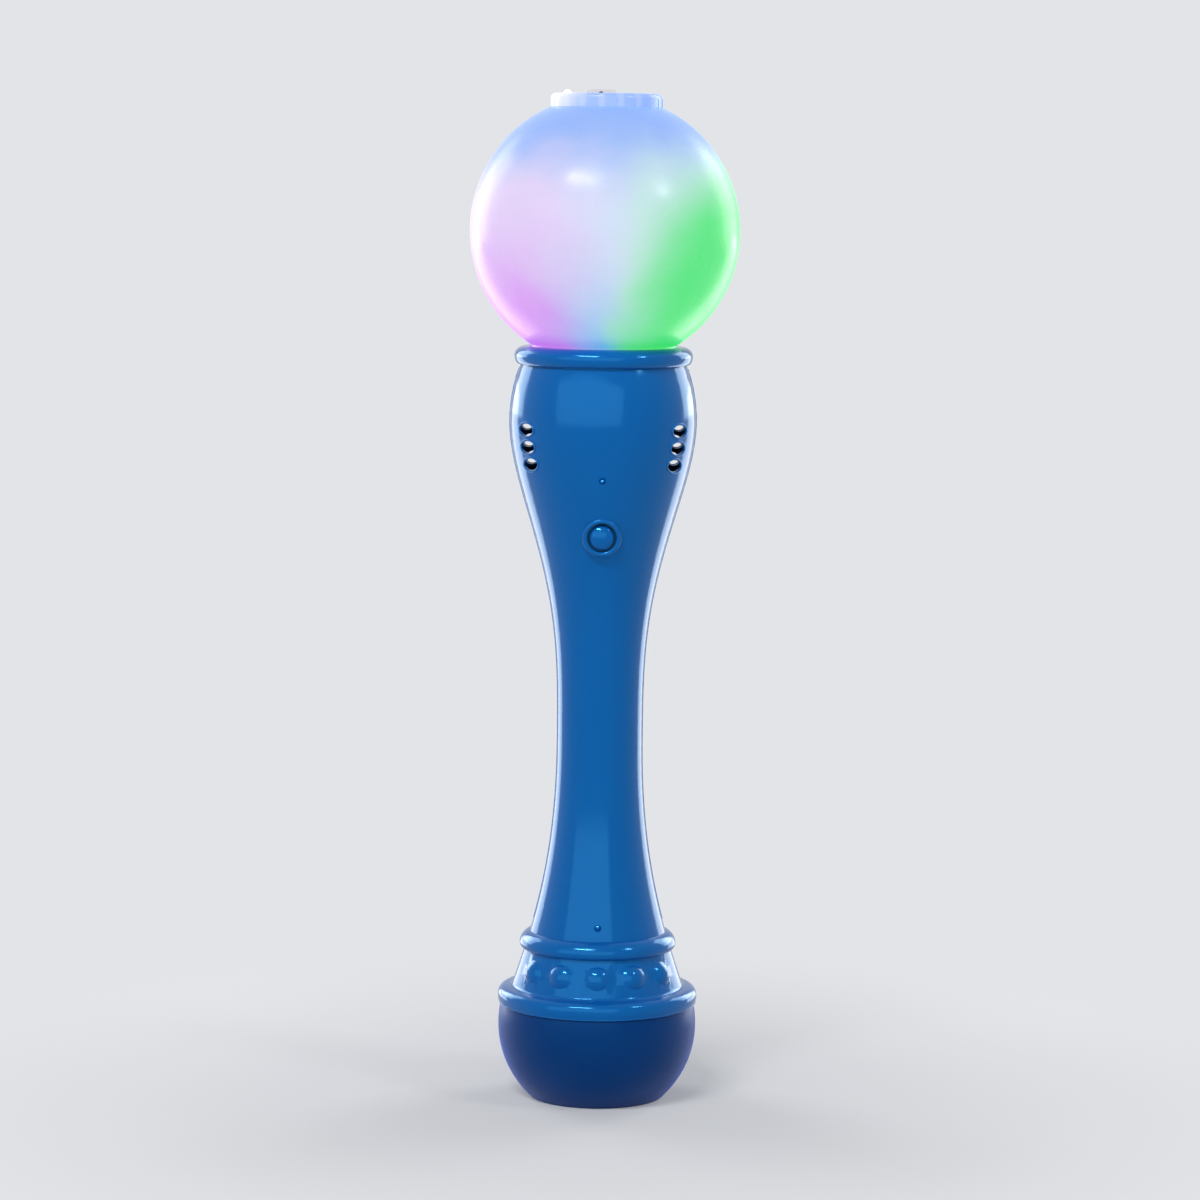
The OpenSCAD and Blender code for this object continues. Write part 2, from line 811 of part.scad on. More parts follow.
module bosses(y0, y1, r) {
    for (z = boss_zs)
        for (side = [-1, 1])
            translate([side * boss_x(z), 0, z])
                rod(y0, y1, r);
}
module lip(outer, inner, angle) {
    for (start = [-lip_root_angle, 180 - angle])
        rotate(start)
            rotate_extrude(angle = angle + lip_root_angle)
                polygon(concat(lip_side(outer), reversed(lip_side(inner))));
}
module bezel() {
    translate([0, -bezel_y, button_z])
        rotate([90 + bezel_tilt, 0, 0])
            rotate_extrude() {
                translate([0, -bezel_root])
                    square([bezel_r, bezel_root + bezel_h - bezel_round]);
                translate([bezel_r - bezel_round, bezel_h - bezel_round])
                    circle(bezel_round);
            }
}
module gate_marks(depth, r) {
    for (z = gate_zs)
        translate([0, depth - body_r(z), z])
            sphere(r = r);
}
module board_posts(y0, y1, r) {
    for (side = [-1, 1])
        translate([side * board_screw_x, 0, board_screw_z])
            rod(y0, y1, r);
}
module front_shell() {
    color(shell_blue) {
        gate_marks(gate_depth, gate_nub_r);
        difference() {
            union() {
                rotate(180)
                    half_shell();
                lip(wall - lip_t, wall + lip_back, lip_angle);
                difference() {
                    rotate(180)
                        cradle();
                    translate([0, cell_y, 0])
                        disc(tray_z, tray_top_z, tray_r + fit);
                    translate(run_place)
                        disc(foot_z, tray_top_z, tube_r + hang_gap);
                }
                intersection() {
                    union() {
                        bosses(-reach, 0, boss_r);
                        board_posts(-reach, -board_y, board_post_r);
                        translate([0, 0, button_z])
                            rod(-reach, -sleeve_end_y, button_bore_r + sleeve_wall);
                    }
                    core();
                }
                bezel();
            }
            translate([0, 0, button_z])
                rod(-reach, 0, button_bore_r);
            bosses(-pilot_depth, overrun, screw_r + run_fit);
            board_posts(-board_y - small_screw_len, overrun - board_y, small_screw_r + run_fit);
            gate_marks(gate_depth - gate_r, gate_r);
        }
    }
}
module rear_shell() {
    color(shell_blue)
        difference() {
            union() {
                half_shell();
                cradle();
                intersection() {
                    bosses(0, reach, boss_r);
                    core();
                }
            }
            lip(wall - lip_t - fit, wall + overrun, lip_angle + lip_room_angle);
            block(-tray_r - fit, tray_r + fit, 0, inner_r(waist_z) + cell_y, door_z, door_top_z);
            block(-door_w / 2, door_w / 2, 0, reach, door_z, door_top_z);
            bosses(-overrun, reach, screw_r + hang_gap);
            bosses(head_y, reach, screw_head_r + head_room);
        }
}
module clamp_ring() {
    edge_r = shoulder_r + hang_gap;
    color(shell_blue)
        rotate_extrude()
            polygon(concat(
                [[neck_out_r + fit, ring_z]],
                [
                    for (a = [0 : arc_step : 90 - arc_step])
                        [mix(edge_r, ring_r, pow(sin(a), ring_power)), ring_z + ring_h * (1 - cos(a)) / 2]
                ],
                [
                    for (a = [90 : arc_step : 180])
                        [ring_r - ring_crown * (1 - sin(a)), ring_z + ring_h * (1 - cos(a)) / 2]
                ],
                [
                    [globe_neck_r + fit, ring_top_z], [globe_neck_r + fit, neck_top_z + fit],
                    [neck_out_r + fit, neck_top_z + fit]
                ]
            ));
}

// Globe, nozzle and spout
module globe() {
    color(milk)
        difference() {
            union() {
                translate([0, 0, globe_z])
                    sphere(r = globe_r);
                disc(globe_flange_z, ring_top_z + neck_show + globe_wall / 2, globe_neck_r);
                disc(globe_flange_z, globe_flange_z + flange_t, flange_r);
            }
            translate([0, 0, globe_z])
                sphere(r = globe_r - globe_wall);
            disc(globe_flange_z - reach, globe_z, globe_neck_r - globe_wall);
            disc(nozzle_z, nozzle_z + reach, nozzle_r + overrun);
            disc(globe_z, nozzle_z + overrun, spigot_r + fit);
        }
}
module nozzle_ring() {
    color(milk)
        difference() {
            union() {
                rotate_extrude()
                    polygon(concat(
                        [
                            [nozzle_bore_r, spigot_z], [spigot_r, spigot_z],
                            [spigot_r, nozzle_z], [nozzle_r, nozzle_z]
                        ],
                        arc_down(nozzle_r, nozzle_top_z, nozzle_round),
                        [[nozzle_bore_r, nozzle_top_z]]
                    ));
                for (k = [0 : nozzle_ribs - 1])
                    rotate(360 * k / nozzle_ribs) {
                        block(spigot_r, nozzle_r + rib_proud, -rib_w / 2, rib_w / 2,
                            nozzle_z, nozzle_top_z - nozzle_round);
                        block(nozzle_bore_r - tooth_depth, spout_stem_r, -tooth_w / 2, tooth_w / 2,
                            tooth_z, nozzle_top_z - tooth_drop);
                    }
            }
            translate([-spout_x, spout_y, 0])
                disc(spigot_z - overrun, nozzle_top_z + overrun, tube_r + run_fit);
            translate(nozzle_led_place)
                disc(spigot_z - overrun, nozzle_top_z + overrun, nozzle_led_r + run_fit);
        }
}
module feed_spout() {
    color("wheat")
        translate([-spout_x, spout_y, 0])
            difference() {
                union() {
                    disc(spigot_z, nozzle_top_z + spout_rise / 2, tube_r);
                    block(-spout_w / 2, spout_w / 2, -spout_front, spout_back,
                        nozzle_top_z, nozzle_top_z + spout_rise);
                }
                disc(spigot_z - overrun, nozzle_top_z + spout_rise / 2, spout_bore_r);
                translate([0, 0, nozzle_top_z])
                    rod(-reach, 0, spout_bore_r);
            }
}
module nozzle_led() {
    dome_z = nozzle_top_z + nozzle_led_rise - nozzle_led_r;
    color("aliceblue")
        translate(nozzle_led_place) {
            disc(spigot_z, dome_z, nozzle_led_r);
            translate([0, 0, dome_z])
                sphere(r = nozzle_led_r);
        }
}

// Button, switch and control board
module button() {
    face_r = button_r - button_round;
    color(shell_blue)
        translate([0, 0, button_z])
            rotate([90, 0, 0])
                rotate_extrude()
                    polygon(concat(
                        [
                            [0, button_back_y], [button_flange_r, button_back_y],
                            [button_flange_r, button_flange_y], [button_r, button_flange_y]
                        ],
                        arc_down(button_r, button_face_y - button_dome, button_round),
                        [
                            for (t = dome_shares)
                                [t * face_r, button_face_y - button_dome * t * t]
                        ]
                    ));
}
module switch_plunger() {
    color("black")
        translate([0, 0, button_z])
            rod(-button_back_y, plunger_len - button_back_y, plunger_r);
}
module push_switch() {
    half = switch_side / 2;
    hole = plunger_len - plunger_show + button_travel + fit;
    color(rubber)
        difference() {
            block(-half, half, -switch_y, -board_y, button_z - half, button_z + half);
            translate([0, 0, button_z])
                rod(-switch_y - overrun, hole - switch_y, plunger_r + run_fit);
        }
}
module control_board() {
    color(board_green)
        difference() {
            block(-board_w / 2, board_w / 2, -board_y, -board_back_y, board_z, board_top_z);
            board_posts(-board_y - overrun, overrun - board_back_y, small_screw_r + fit);
        }
}
module board_screws() {
    color(steel) {
        board_posts(-board_back_y, small_head_t - board_back_y, small_head_r);
        board_posts(-board_back_y - small_screw_len, -board_back_y, small_screw_r);
    }
}

// Battery room
module battery_tray() {
    color(nylon)
        difference() {
            union() {
                translate([0, cell_y, 0])
                    difference() {
                        disc(tray_z, tray_top_z, tray_r);
                        disc(tray_z + tray_wall, tray_top_z - tray_wall, tray_in_r);
                        block(-reach, reach, tray_side_share * tray_r, reach,
                            tray_z + tray_wall, tray_top_z - tray_wall);
                    }
                translate([0, 0, door_screw_z])
                    rod(cell_y, tray_boss_end_y, tray_boss_r);
                block(-tray_boss_r, tray_boss_r, cell_y, tray_boss_end_y,
                    tray_top_z - tray_wall, door_screw_z);
            }
            translate([0, 0, door_screw_z])
                rod(cell_y + tray_wall, reach, screw_r + tray_boss_room);
        }
}
module battery_cells() {
    color("goldenrod")
        for (k = [0 : cell_count - 1])
            translate([0, cell_y, cell_z + k * cell_len]) {
                disc(0, cell_len - cell_nub_h, cell_r);
                disc(0, cell_len, cell_nub_r);
            }
}
spring_points = [
    for (i = [0 : spring_turns * spring_rings])
        let (t = i / (spring_turns * spring_rings), a = 360 * spring_turns * t)
        mix(spring_r, spring_top_r, t) * [cos(a), sin(a), 0]
        + [0, 0, mix(spring_wire_r, spring_h - spring_wire_r, t)]
];
spring_clear = min([
    for (i = [0 : len(spring_points) - 1])
        for (k = [i + spring_rings / 2 : 1 : len(spring_points) - 1])
            norm(spring_points[i] - spring_points[k])
]) - 2 * spring_wire_r;
module battery_spring() {
    echo(spring_gap_to_itself = spring_clear);
    color(steel)
        translate([0, cell_y, spring_z])
            sweep(spring_points, spring_wire_r, spring_sides, [0, 0, 1]);
}
module battery_contact() {
    color(steel)
        translate([0, cell_y, 0])
            disc(contact_z, contact_z + contact_t, contact_r);
}
module battery_door() {
    half = door_w / 2 - door_gap;
    color(shell_blue)
        difference() {
            union() {
                intersection() {
                    rotate_extrude(angle = 180)
                        polygon(concat(skin(0), reversed(skin(wall))));
                    block(-half, half, 0, reach, door_z + door_gap, door_top_z - door_gap);
                }
                translate([0, 0, door_screw_z])
                    rod(door_boss_y, body_r(door_screw_z) - wall / 2, door_boss_r);
                block(-door_tab_w / 2, door_tab_w / 2, door_tab_y - door_tab_t, door_tab_y,
                    door_z - door_tab_drop, door_z + door_tab_web);
                block(-door_tab_w / 2, door_tab_w / 2, door_tab_y - door_tab_t,
                    body_r(door_z + door_tab_web) - wall / 2, door_z + door_gap, door_z + door_tab_web);
            }
            translate([0, 0, door_screw_z]) {
                rod(0, reach, screw_r + run_fit);
                rod(door_seat_y, reach, screw_head_r + head_room);
            }
        }
}
module door_screw() {
    color(steel)
        translate([0, 0, door_screw_z]) {
            rod(door_seat_y - door_screw_len, door_seat_y + head_t / 2, screw_r);
            rod(door_seat_y, door_seat_y + head_t, screw_head_r);
        }
}
module housing_screws() {
    color(steel) {
        bosses(head_y - screw_len, head_y + head_t / 2, screw_r);
        bosses(head_y, head_y + head_t, screw_head_r);
    }
}

// Blower
module fan_housing() {
    color(nylon)
        difference() {
            union() {
                pipe(fan_floor_z, fan_floor_z + fan_floor_t, fan_r, eye_r);
                pipe(fan_floor_z, fan_top_z, fan_r, fan_in_r);
                pipe(fan_flange_z, fan_top_z, flange_r, fan_in_r);
                difference() {
                    pipe(cup_z, fan_floor_z + fan_floor_t / 2, cup_r + cup_wall, cup_r);
                    for (a = [0, 90])
                        rotate(a)
                            block(-reach, reach, -window_w / 2, window_w / 2, motor_top_z, fan_floor_z);
                }
            }
            translate(tube_up)
                disc(fan_flange_z - overrun, fan_top_z + overrun, tube_r + fit);
            translate([lead_x, -lead_y, 0])
                disc(fan_flange_z - overrun, fan_top_z + overrun, lead_hole_r);
        }
}
module air_duct() {
    color(nylon)
        rotate_extrude()
            polygon([
                [fan_in_r, duct_flange_z], [fan_r, duct_flange_z], [fan_r, duct_flange_z + flange_t],
                [duct_r + duct_step, led_seat_z], [duct_r, led_seat_z], [duct_r, duct_top_z],
                [duct_r - duct_wall, duct_top_z], [duct_r - duct_wall, led_seat_z - duct_wall],
                [fan_in_r, duct_flange_z + flange_t]
            ]);
}
module vane() {
    h = impeller_top_z - impeller_z;
    translate([0, 0, impeller_z])
        intersection() {
            translate([0, vane_curve_r, 0])
                pipe(0, h, vane_curve_r, vane_curve_r - vane_t);
            pipe(0, h, impeller_r - vane_t / 2, vane_root_r);
            block(0, reach, 0, reach, 0, h);
        }
}
module impeller() {
    color(milk)
        difference() {
            union() {
                disc(impeller_top_z - back_plate_t, impeller_top_z, impeller_r);
                disc(impeller_z, impeller_top_z, hub_r);
                for (k = [0 : vane_count - 1])
                    rotate(360 * k / vane_count)
                        vane();
            }
            disc(impeller_z - overrun, impeller_top_z + overrun, shaft_r + run_fit);
        }
}
module motor_section(z0, z1) {
    intersection() {
        disc(z0, z1, motor_r);
        block(-reach, reach, -motor_flat / 2, motor_flat / 2, z0, z1);
    }
}
module motor_can() {
    color(steel)
        difference() {
            union() {
                motor_section(can_z, motor_top_z);
                disc(can_z, motor_top_z + motor_boss_h, motor_boss_r);
            }
            disc(can_z - overrun, motor_top_z + motor_boss_h + overrun, shaft_r + run_fit);
        }
}
module motor_end_cap() {
    color("black")
        difference() {
            union() {
                motor_section(motor_z, can_z);
                disc(motor_z - motor_boss_h, can_z, motor_boss_r);
            }
            disc(motor_z - motor_boss_h - overrun, can_z + overrun, shaft_r + run_fit);
        }
}
module motor_shaft() {
    color(steel)
        disc(first_z, impeller_top_z + impeller_gap, shaft_r);
}

// Gear train
module motor_pinion() {
    color("gold")
        translate([0, 0, first_z])
            pinion(first_angle, gear_t);
}
module first_gear() {
    color(nylon)
        translate(first_axis) {
            translate([0, 0, first_z])
                wheel(first_angle + 180, gear_t);
            translate([0, 0, second_z])
                pinion(0, level_step);
        }
}
module second_gear() {
    color(milk)
        translate(second_axis) {
            translate([0, 0, second_z])
                wheel(180, gear_t);
            translate([0, 0, third_z])
                pinion(second_angle + 180, level_step);
        }
}
module gear_pins() {
    color(steel) {
        translate(first_axis)
            disc(second_z - fit, frame_top_z, shaft_r);
        translate(second_axis)
            disc(third_z - fit, frame_top_z, shaft_r);
    }
}
module on_posts() {
    for (a = post_angles)
        rotate(a)
            translate([post_orbit, 0, 0])
                children();
}
module gear_frame() {
    color(nylon)
        difference() {
            disc(frame_z, frame_top_z, frame_r);
            block(-reach, reach, -reach, -frame_front_y, frame_z - overrun, frame_top_z + overrun);
            for (axis = [[0, 0, 0], first_axis, second_axis])
                translate(axis)
                    disc(frame_z - overrun, frame_top_z + overrun, shaft_r + run_fit);
            translate([-riser_x, -riser_y, 0])
                disc(frame_z - overrun, frame_top_z + overrun, tube_r + hang_gap);
            on_posts()
                disc(frame_z - overrun, frame_top_z + overrun, small_screw_r + fit);
        }
}
module frame_screws() {
    color(steel)
        on_posts() {
            disc(frame_top_z, frame_top_z + small_head_t, small_head_r);
            disc(frame_top_z - small_screw_len, frame_top_z + small_head_t / 2, small_screw_r);
        }
}

// Roller pump
module on_rollers() {
    for (k = [0 : roller_count - 1])
        rotate(360 * k / roller_count)
            translate([roller_orbit, 0, 0])
                children();
}
module pump_rotor() {
    color(nylon) {
        translate([0, 0, third_z])
            wheel(second_angle, gear_t);
        pipe(rotor_z, third_z, hub_r, shaft_r + run_fit);
        difference() {
            disc(rotor_z, rotor_z + rotor_t, rotor_r);
            disc(rotor_z - overrun, third_z, shaft_r + run_fit);
        }
        on_rollers()
            disc(roller_z - fit, rotor_z + rotor_t / 2, roller_pin_r);
    }
}
module pump_rollers() {
    color(steel)
        on_rollers()
            pipe(roller_z, roller_z + roller_h, roller_r, roller_pin_r + run_fit);
}
module pump_pin() {
    color(steel)
        disc(pump_z, third_z + gear_t + fit, shaft_r);
}
module pump_housing() {
    color(milk)
        difference() {
            union() {
                disc(pump_z, pump_floor_z, pump_r);
                pipe(pump_z, pump_top_z, pump_r, track_r);
                on_posts()
                    disc(pump_top_z - pump_wall, frame_z - seat_gap, post_r);
            }
            disc(pump_floor_z, pump_top_z, track_r);
            disc(pump_z - overrun, pump_floor_z + overrun, shaft_r + run_fit);
            translate(run_place)
                disc(pump_z - overrun, pump_top_z, fitting_r + fit);
            block(-reach, -roller_orbit, -riser_y - exit_half - fit, exit_half - riser_y + fit,
                tube_mid_z - flat_tube_h / 2 - fit, pump_top_z + overrun);
            on_posts()
                disc(frame_top_z - small_screw_len - fit, frame_z, small_screw_r + run_fit);
        }
}
module pump_tube() {
    color(clear_tube)
        rotate(pump_start)
            rotate_extrude(angle = pump_sweep)
                translate([flat_tube_r, tube_mid_z]) {
                    square([flat_tube_t, flat_tube_h - flat_tube_t], center = true);
                    for (side = [-1, 1])
                        translate([0, side * (flat_tube_h - flat_tube_t) / 2])
                            circle(flat_tube_t / 2);
                }
}
module tube_fittings() {
    color(rubber) {
        translate(run_place) {
            disc(pump_z - fitting_drop, tube_top_z, fitting_r);
            disc(pump_z - fitting_drop - stub_h, pump_z, stub_r);
        }
        block(-riser_x - exit_half, flat_tube_t / 2 - flat_tube_r, -riser_y - exit_half, exit_half - riser_y,
            tube_mid_z - flat_tube_h / 2, tube_top_z);
    }
}

// Tubing
module suction_tube() {
    color(clear_tube)
        translate(run_place)
            pipe(cap_top_z + seat_gap, pump_z - fitting_drop - seat_gap, tube_r, tube_bore_r);
}
module delivery_tube() {
    color(clear_tube)
        sweep(path(delivery_route), tube_r, wire_sides, [0, 1, 0]);
}
module dip_tube() {
    color(clear_tube)
        translate(run_place)
            pipe(dip_end_z, cap_z - seat_gap, tube_r, tube_bore_r);
}

// Tank
module tank() {
    color(tank_blue)
        difference() {
            union() {
                intersection() {
                    translate([0, 0, tank_ball_z])
                        sphere(r = tank_r);
                    disc(0, tank_h, tank_r + overrun);
                }
                disc(tank_h - tank_wall, neck_lip_z, tank_neck_r);
            }
            intersection() {
                translate([0, 0, tank_ball_z])
                    sphere(r = tank_r - tank_wall);
                disc(tank_wall, tank_h - tank_wall, tank_r);
            }
            disc(tank_h - 2 * tank_wall, neck_lip_z + overrun, tank_neck_r - tank_wall);
        }
}
module tank_cap() {
    color(rubber) {
        pipe(cap_skirt_z, cap_z + cap_plate_t / 2, cap_skirt_r, cap_bore_r);
        difference() {
            disc(cap_z, cap_top_z, cap_flange_r);
            translate(run_place)
                disc(cap_z - overrun, cap_top_z + overrun, stub_r / 2);
        }
        translate(run_place)
            pipe(cap_z - stub_h, cap_top_z + stub_h, stub_r, stub_r / 2);
    }
}
module tank_gasket() {
    color("salmon")
        pipe(gasket_z, gasket_z + gasket_t, tank_neck_r, tank_neck_r - tank_wall);
}

// Lights
module led(angle, tint) {
    color(tint)
        rotate(angle)
            translate([led_orbit, 0, led_z]) {
                disc(0, led_flange_h, led_flange_r);
                disc(0, led_h - led_r, led_r);
                translate([0, 0, led_h - led_r])
                    sphere(r = led_r);
            }
}
module led_board() {
    color(board_green)
        difference() {
            pipe(led_seat_z, led_seat_z + led_board_t, led_board_r, duct_r + fit);
            translate(tube_up)
                disc(led_seat_z - overrun, led_seat_z + led_board_t + overrun, tube_r + fit);
        }
}
module violet_led() {
    led(violet_angle, "violet");
}
module blue_led() {
    led(blue_angle, "deepskyblue");
}
module green_led() {
    led(green_angle, "lime");
}

// Wires
module wire_pair(route) {
    for (side = [-1, 1])
        wire([for (p = route) p + [side * lead_half, 0, 0]]);
}
module battery_leads() {
    color("crimson")
        wire_pair(battery_route);
}
module motor_leads() {
    color("crimson")
        wire_pair(motor_route);
}
module led_leads() {
    color("crimson")
        wire_pair(led_route);
}
module nozzle_leads() {
    color("crimson")
        wire_pair(nozzle_route);
}

front_shell();
rear_shell();
clamp_ring();
globe();
nozzle_ring();
feed_spout();
nozzle_led();
button();
switch_plunger();
push_switch();
control_board();
board_screws();
battery_tray();
battery_cells();
battery_spring();
battery_contact();
battery_door();
door_screw();
housing_screws();
fan_housing();
air_duct();
impeller();
motor_can();
motor_end_cap();
motor_shaft();
motor_pinion();
first_gear();
second_gear();
gear_pins();
gear_frame();
frame_screws();
pump_rotor();
pump_rollers();
pump_pin();
pump_housing();
pump_tube();
tube_fittings();
suction_tube();
delivery_tube();
dip_tube();
tank();
tank_cap();
tank_gasket();
led_board();
violet_led();
blue_led();
green_led();
battery_leads();
motor_leads();
led_leads();
nozzle_leads();
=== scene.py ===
import json
import math
import bmesh
import bpy
from mathutils import Matrix, Vector
from mathutils.geometry import tessellate_polygon


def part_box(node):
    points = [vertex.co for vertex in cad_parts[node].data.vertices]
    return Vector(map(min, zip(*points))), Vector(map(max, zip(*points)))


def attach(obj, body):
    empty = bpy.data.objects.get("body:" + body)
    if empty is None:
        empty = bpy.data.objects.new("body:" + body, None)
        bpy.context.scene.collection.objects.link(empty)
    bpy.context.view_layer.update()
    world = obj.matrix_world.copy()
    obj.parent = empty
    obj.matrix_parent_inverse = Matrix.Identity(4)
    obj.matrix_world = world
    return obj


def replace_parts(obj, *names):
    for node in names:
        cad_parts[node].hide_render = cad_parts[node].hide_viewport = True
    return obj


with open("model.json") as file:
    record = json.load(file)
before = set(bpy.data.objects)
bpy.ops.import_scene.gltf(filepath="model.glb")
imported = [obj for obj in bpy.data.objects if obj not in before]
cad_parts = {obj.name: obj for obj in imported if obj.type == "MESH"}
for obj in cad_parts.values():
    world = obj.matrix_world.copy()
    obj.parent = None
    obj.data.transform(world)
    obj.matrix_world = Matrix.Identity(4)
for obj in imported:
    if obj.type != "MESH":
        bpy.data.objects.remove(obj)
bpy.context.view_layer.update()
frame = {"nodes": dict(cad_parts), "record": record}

nodes = frame["nodes"]
scene = bpy.context.scene
scene.view_settings.view_transform = "Standard"


# Camera: matched to the photograph by the places of the base, the bead, the ring and the globe
PHOTO_PX = 1200
FOCAL_PX = 4173
SENSOR_MM = 36
CAMERA_X = -0.0004
DISTANCE = 1.406
EYE_HEIGHT = 0.325
PITCH = math.radians(6.27)
ROLL = math.radians(0.6)
camera = bpy.data.objects.new("camera", bpy.data.cameras.new("camera"))
scene.collection.objects.link(camera)
camera.data.sensor_width = SENSOR_MM
camera.data.lens = FOCAL_PX / PHOTO_PX * SENSOR_MM
camera.matrix_world = (
    Matrix.Translation((CAMERA_X, -DISTANCE, EYE_HEIGHT))
    @ Matrix.Rotation(math.pi / 2 - PITCH, 4, "X")
    @ Matrix.Rotation(ROLL, 4, "Z")
)
scene.camera = camera


# Shader helpers. Noise scales are in waves per metre, bump depths in metres
SKIN_DEPTH, FINE_DEPTH = 0.0002, 0.0001


def shader(name):
    m = bpy.data.materials.new(name)
    m.use_nodes = True
    nt = m.node_tree
    coord = nt.nodes.new("ShaderNodeTexCoord")
    return m, nt, nt.nodes["Principled BSDF"], coord.outputs["Object"]


def srgb(r, g, b):
    """The linear colour, with alpha, of an sRGB colour given in 0 to 255."""
    linear = [
        ((c / 255 + 0.055) / 1.055) ** 2.4 if c > 10 else c / 255 / 12.92
        for c in (r, g, b)
    ]
    return (*linear, 1)


def shade(colour, by):
    return tuple(min(c * by, 1) for c in colour[:3]) + (1,)


def connect(nt, socket, value):
    """Link another socket to this one, or set a constant on it."""
    if isinstance(value, bpy.types.NodeSocket):
        nt.links.new(value, socket)
    else:
        socket.default_value = value


def noise(nt, at, scale, detail=3, rough=0.5):
    n = nt.nodes.new("ShaderNodeTexNoise")
    n.inputs["Scale"].default_value = scale
    n.inputs["Detail"].default_value = detail
    n.inputs["Roughness"].default_value = rough
    nt.links.new(at, n.inputs["Vector"])
    return n.outputs["Fac"]


def math_node(nt, kind, *values):
    n = nt.nodes.new("ShaderNodeMath")
    n.operation = kind
    for socket, value in zip(n.inputs, values):
        connect(nt, socket, value)
    return n.outputs["Value"]


def remap(nt, value, start, end, low, high, smooth=True):
    n = nt.nodes.new("ShaderNodeMapRange")
    n.interpolation_type = "SMOOTHSTEP" if smooth else "LINEAR"
    n.inputs["From Min"].default_value = start
    n.inputs["From Max"].default_value = end
    n.inputs["To Min"].default_value = low
    n.inputs["To Max"].default_value = high
    nt.links.new(value, n.inputs["Value"])
    return n.outputs["Result"]


def mix(nt, share, a, b):
    n = nt.nodes.new("ShaderNodeMix")
    n.data_type = "RGBA"
    nt.links.new(share, n.inputs["Factor"])
    connect(nt, n.inputs["A"], a)
    connect(nt, n.inputs["B"], b)
    return n.outputs["Result"]


def two_tone(nt, bsdf, share, a, b):
    nt.links.new(mix(nt, share, a, b), bsdf.inputs["Base Color"])


def uneven_gloss(nt, bsdf, pattern, low, high, top=0.7):
    nt.links.new(remap(nt, pattern, 0.3, top, low, high), bsdf.inputs["Roughness"])


def bump(nt, bsdf, height, strength, depth):
    n = nt.nodes.new("ShaderNodeBump")
    n.inputs["Strength"].default_value = strength
    n.inputs["Distance"].default_value = depth
    nt.links.new(height, n.inputs["Height"])
    nt.links.new(n.outputs["Normal"], bsdf.inputs["Normal"])


def seen_rays(nt):
    """1 for the rays that show the background: from the camera, off gloss and through glass."""
    ray = nt.nodes.new("ShaderNodeLightPath")
    seen = math_node(nt, "MAXIMUM", ray.outputs["Is Camera Ray"], ray.outputs["Is Glossy Ray"])
    return math_node(nt, "MAXIMUM", seen, ray.outputs["Is Transmission Ray"])


# Materials
DRIFT_SCALE, GLOSS_SCALE, GLOSS_SPREAD = 22, 160, 0.05
WORN_FROM, WORN_TO, WORN_SHADE = 0.52, 0.6, 1.9


def moulded(
    name, colour, rough, drift=0.07, skin=0.06, grain=900, wear=0.2, ior=1.46, tint=(1, 1, 1)
):
    """A plastic with slow colour drift, rubbed edges, uneven gloss and a fine skin."""
    m, nt, bsdf, at = shader(name)
    bsdf.inputs["Specular Tint"].default_value = (*tint, 1)
    bsdf.inputs["IOR"].default_value = ior
    drifting = noise(nt, at, DRIFT_SCALE, 4)
    tone = mix(nt, drifting, shade(colour, 1 - drift), shade(colour, 1 + drift))
    edge = nt.nodes.new("ShaderNodeNewGeometry").outputs["Pointiness"]
    worn = math_node(nt, "MULTIPLY", remap(nt, edge, WORN_FROM, WORN_TO, 0, 1), wear)
    two_tone(nt, bsdf, worn, tone, shade(colour, WORN_SHADE))
    gloss = noise(nt, at, GLOSS_SCALE, 5, 0.6)
    uneven_gloss(nt, bsdf, gloss, rough - GLOSS_SPREAD / 2, rough + GLOSS_SPREAD, 0.75)
    bump(nt, bsdf, noise(nt, at, grain, 2), skin, SKIN_DEPTH)
    return m


def metal(name, colour, rough, brushed):
    m, nt, bsdf, at = shader(name)
    stretch = nt.nodes.new("ShaderNodeMapping")
    stretch.inputs["Scale"].default_value = brushed
    nt.links.new(at, stretch.inputs["Vector"])
    lines = noise(nt, stretch.outputs["Vector"], 700, 4, 0.6)
    two_tone(nt, bsdf, lines, shade(colour, 0.82), shade(colour, 1.12))
    uneven_gloss(nt, bsdf, lines, rough * 0.7, rough * 1.4)
    bsdf.inputs["Metallic"].default_value = 1
    bump(nt, bsdf, lines, 0.08, FINE_DEPTH)
    return m


def board(name, colour):
    m, nt, bsdf, at = shader(name)
    weave = noise(nt, at, 1500, 1)
    two_tone(nt, bsdf, weave, shade(colour, 0.8), shade(colour, 1.25))
    uneven_gloss(nt, bsdf, weave, 0.3, 0.45)
    bump(nt, bsdf, weave, 0.1, FINE_DEPTH)
    return m


def tubing(name, colour):
    m, nt, bsdf, at = shader(name)
    two_tone(nt, bsdf, noise(nt, at, 60), shade(colour, 0.9), colour)
    uneven_gloss(nt, bsdf, noise(nt, at, 400), 0.18, 0.34)
    bsdf.inputs["Transmission Weight"].default_value = 0.5
    bsdf.inputs["IOR"].default_value = 1.41
    bump(nt, bsdf, noise(nt, at, 500, 2), 0.05, SKIN_DEPTH)
    return m


def lamp(name, colour, strength):
    m, nt, bsdf, at = shader(name)
    two_tone(nt, bsdf, noise(nt, at, 300, 2), shade(colour, 0.9), colour)
    uneven_gloss(nt, bsdf, noise(nt, at, 400), 0.09, 0.16)
    bump(nt, bsdf, noise(nt, at, 900, 2), 0.03, FINE_DEPTH)
    bsdf.inputs["Emission Color"].default_value = colour
    bsdf.inputs["Emission Strength"].default_value = strength
    return m


